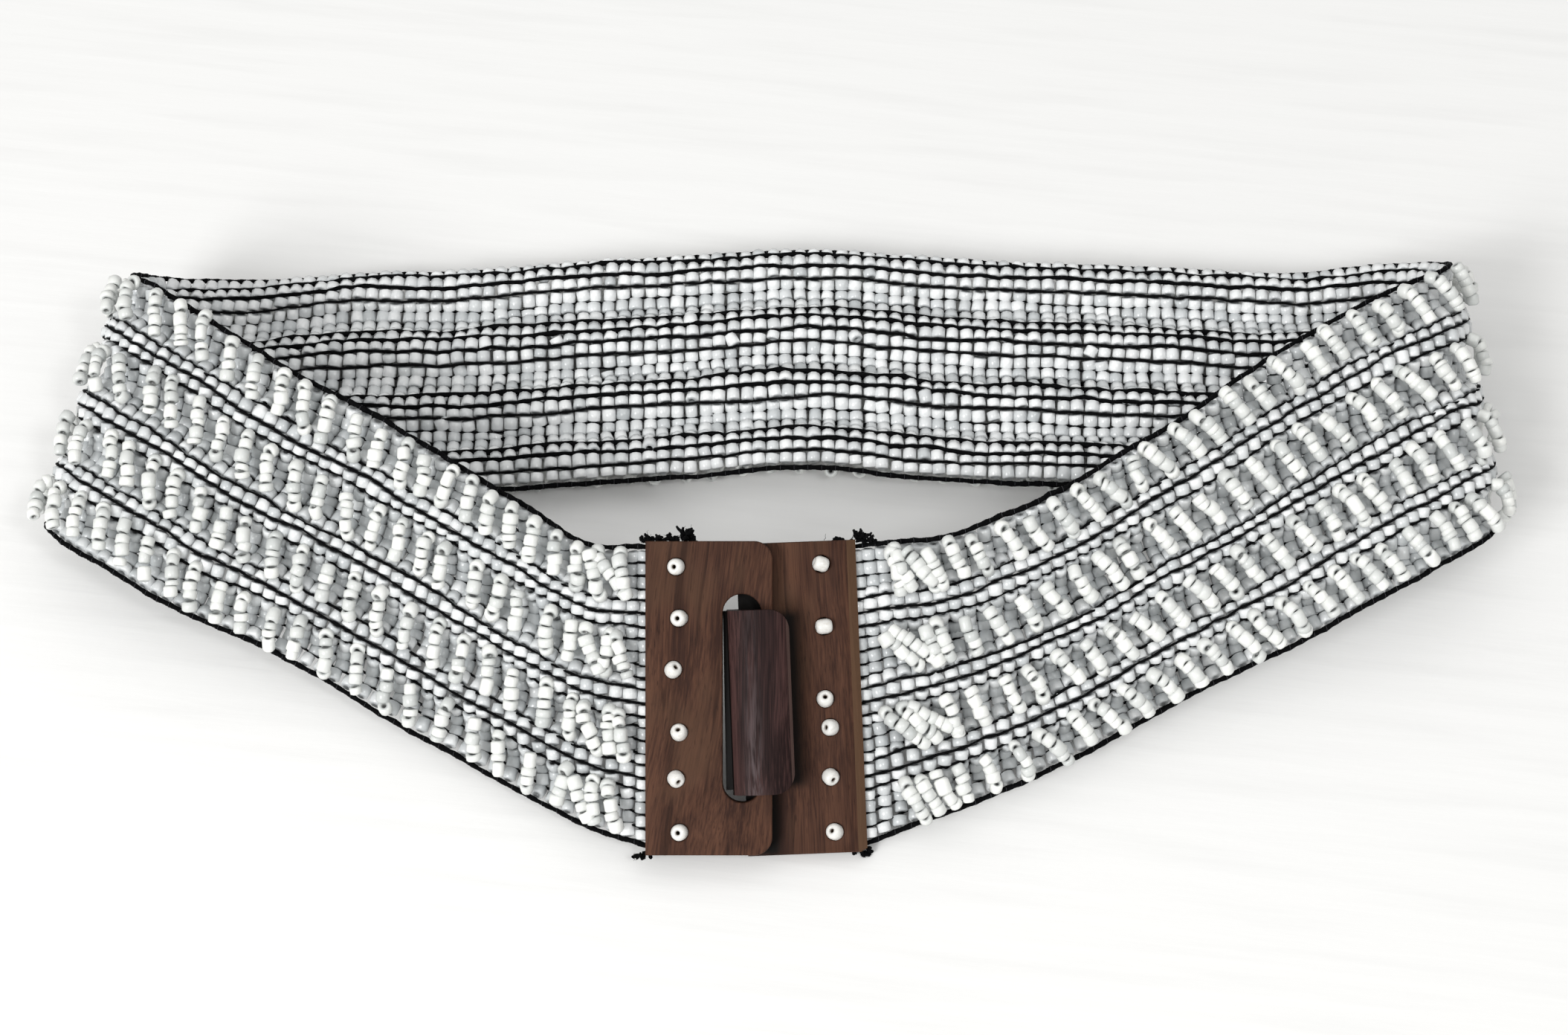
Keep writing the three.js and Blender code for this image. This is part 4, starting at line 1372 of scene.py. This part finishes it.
def thread_tufts(band, seed):
    """Cut and frayed ends of the elastics"""
    rng = np.random.default_rng(seed + 5)
    joined = JoinedMesh()
    matrix = np.array(buckle_matrix())
    sides = 6
    end_radius, hair_radius = 0.00052, 0.00006
    for x, y, z, reach, thick_ends, hairs in THREAD_TUFTS:
        outward = 1.0 if y > 0 else -1.0
        for number in range(thick_ends + hairs):
            thick = number < thick_ends
            length, radius = (reach, end_radius) if thick else (1.2 * reach, hair_radius)
            path, radii = cut_end(rng, np.array([x, y, z]), length, outward, radius)
            path = above_floor(path @ matrix[:3, :3].T + matrix[:3, 3], radii)
            ahead = unit(np.gradient(path, axis=0) + 1e-9)
            side_a = unit(np.cross(ahead, np.array([0.3, 0.2, 0.9])))
            joined.add(*swept_tube(path, side_a, np.cross(ahead, side_a), radii, sides))
    material = wrapped_elastic("frayed_thread", band.elastic_colour)
    finish_piece(joined.piece("thread_tufts", material), "elastic")


def hidden_cord_ends(band):
    """The gathered elastics under the plates keep their CAD solids, in black thread"""
    material = wrapped_elastic("hidden_elastic", band.elastic_colour)
    for node in ("cord_ends_left", "cord_ends_right"):
        painted(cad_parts[node], material)


# Stage
def floor(stage):
    size = 6.0
    mesh = bpy.data.meshes.new("floor")
    corners = [(-size, -size, 0), (size, -size, 0), (size, size, 0), (-size, size, 0)]
    mesh.from_pydata(corners, [], [(0, 1, 2, 3)])
    obj = linked(bpy.data.objects.new("floor", mesh))
    painted(obj, pale_floor("pale_floor", stage.floor_colour))


# Soft lights, all aimed at the origin. Columns: name, place, width, height, share of the power
SOFT_LIGHTS = (
    ("key", (-1.10, -1.35, 1.30), 0.8, 0.8, 1.0),
    ("window", (0.60, -0.80, 1.60), 0.25, 0.35, 0.16),
)


def soft_lights(power):
    for name, place, width, height, share in SOFT_LIGHTS:
        light = bpy.data.lights.new(name, "AREA")
        light.shape = "RECTANGLE"
        light.size = width
        light.size_y = height
        light.energy = share * power
        obj = linked(bpy.data.objects.new(name, light))
        obj.location = place
        obj.rotation_euler = (-Vector(place)).to_track_quat("-Z", "Y").to_euler()


def overhead_sky(strength):
    """Soft light that fades from overhead to the horizon, and a little from left to right"""
    graph = Graph(bpy.data.worlds.new("overhead_sky"), "Background")
    place = graph.node("ShaderNodeTexCoord")
    fade = graph.part(place, 2).ramp(0.0, 0.9, 0.25 * strength, 1.25 * strength)
    lean = graph.part(place, 0).ramp(-1.0, 1.0, 1.1, 0.9)
    graph.surface(Color=(1.0, 1.0, 0.99), Strength=fade * lean)
    bpy.context.scene.world = graph.owner


CAMERA_PLACE = np.array([0.0, -0.4268, 0.6830])
CAMERA_ELEVATION = math.radians(58)


def camera(stage):
    data = bpy.data.cameras.new("camera")
    data.sensor_width = 36.0
    data.lens = stage.lens
    data.clip_start = 0.01
    obj = linked(bpy.data.objects.new("camera", data))
    obj.location = CAMERA_PLACE - FOOT_CENTRE
    obj.rotation_euler = (math.pi / 2 - CAMERA_ELEVATION, 0.0, 0.0)
    bpy.context.scene.camera = obj


# Operators
class BeltOperator:
    """Shared part of the belt's operators"""

    bl_options = {"REGISTER", "UNDO"}

    def execute(self, context):
        self.build(context.scene)
        return {"FINISHED"}


class BELT_OT_ground_beads(BeltOperator, bpy.types.Operator):
    """Make the beads of the woven ground"""

    bl_idname = "belt.ground_beads"
    bl_label = "Ground beads"

    def build(self, scene):
        ground_beads(scene.belt_band, scene.belt_stage.seed)


class BELT_OT_elastics(BeltOperator, bpy.types.Operator):
    """Make the elastics between the rows"""

    bl_idname = "belt.elastics"
    bl_label = "Elastics"

    def build(self, scene):
        band_elastics(scene.belt_band, scene.belt_stage.seed)


class BELT_OT_edge_cords(BeltOperator, bpy.types.Operator):
    """Make both edge cords and the thread round them"""

    bl_idname = "belt.edge_cords"
    bl_label = "Edge cords"

    def build(self, scene):
        band, seed = scene.belt_band, scene.belt_stage.seed
        top = edge_cord(band, seed, 1, "edge_cord_top_wrapped", "edge_cord_top")
        bottom = edge_cord(band, seed, -1, "edge_cord_bottom_wrapped", "edge_cord_bottom")
        thread_loops((top, bottom))


class BELT_OT_strands(BeltOperator, bpy.types.Operator):
    """Make the raised strands of beads"""

    bl_idname = "belt.strands"
    bl_label = "Raised strands"

    def build(self, scene):
        strand_beads(scene.belt_strands, scene.belt_stage.seed)


class BELT_OT_slotted_plate(BeltOperator, bpy.types.Operator):
    """Make the plate with the slot"""

    bl_idname = "belt.slotted_plate"
    bl_label = "Slotted plate"

    def build(self, scene):
        slotted_plate(scene.belt_buckle)


class BELT_OT_hook_plate(BeltOperator, bpy.types.Operator):
    """Make the plate with the hook"""

    bl_idname = "belt.hook_plate"
    bl_label = "Hook plate"

    def build(self, scene):
        hook_plate(scene.belt_buckle)


class BELT_OT_plug_beads(BeltOperator, bpy.types.Operator):
    """Make the beads that plug the holes in the plates"""

    bl_idname = "belt.plug_beads"
    bl_label = "Plug beads"

    def build(self, scene):
        plug_beads(scene.belt_buckle)


class BELT_OT_thread_ends(BeltOperator, bpy.types.Operator):
    """Make the frayed thread ends and dress the hidden ones"""

    bl_idname = "belt.thread_ends"
    bl_label = "Thread ends"

    def build(self, scene):
        thread_tufts(scene.belt_band, scene.belt_stage.seed)
        hidden_cord_ends(scene.belt_band)


class BELT_OT_stage(BeltOperator, bpy.types.Operator):
    """Make the floor, the lights and the camera"""

    bl_idname = "belt.stage"
    bl_label = "Stage"

    def build(self, scene):
        stage = scene.belt_stage
        floor(stage)
        soft_lights(stage.key_power)
        overhead_sky(stage.sky_strength)
        camera(stage)
        scene.view_settings.view_transform = "Standard"


class BELT_PT_panel(bpy.types.Panel):
    """Lists the belt's operators"""

    bl_idname = "BELT_PT_panel"
    bl_label = "Belt"
    bl_space_type = "VIEW_3D"
    bl_region_type = "UI"
    bl_category = "Belt"

    def draw(self, context):
        for operator in OPERATORS:
            self.layout.operator(operator.bl_idname)


OPERATORS = (
    BELT_OT_stage,
    BELT_OT_ground_beads,
    BELT_OT_elastics,
    BELT_OT_edge_cords,
    BELT_OT_strands,
    BELT_OT_slotted_plate,
    BELT_OT_hook_plate,
    BELT_OT_plug_beads,
    BELT_OT_thread_ends,
)


def register():
    for name, group in SETTING_GROUPS:
        bpy.utils.register_class(group)
        setattr(bpy.types.Scene, name, PointerProperty(type=group))
    for operator in OPERATORS:
        bpy.utils.register_class(operator)
    bpy.utils.register_class(BELT_PT_panel)


def unregister():
    bpy.utils.unregister_class(BELT_PT_panel)
    for operator in reversed(OPERATORS):
        bpy.utils.unregister_class(operator)
    for name, group in reversed(SETTING_GROUPS):
        delattr(bpy.types.Scene, name)
        bpy.utils.unregister_class(group)


def main():
    register()
    for operator in OPERATORS:
        category, name = operator.bl_idname.split(".")
        getattr(getattr(bpy.ops, category), name)()


if __name__ == "__main__":
    main()
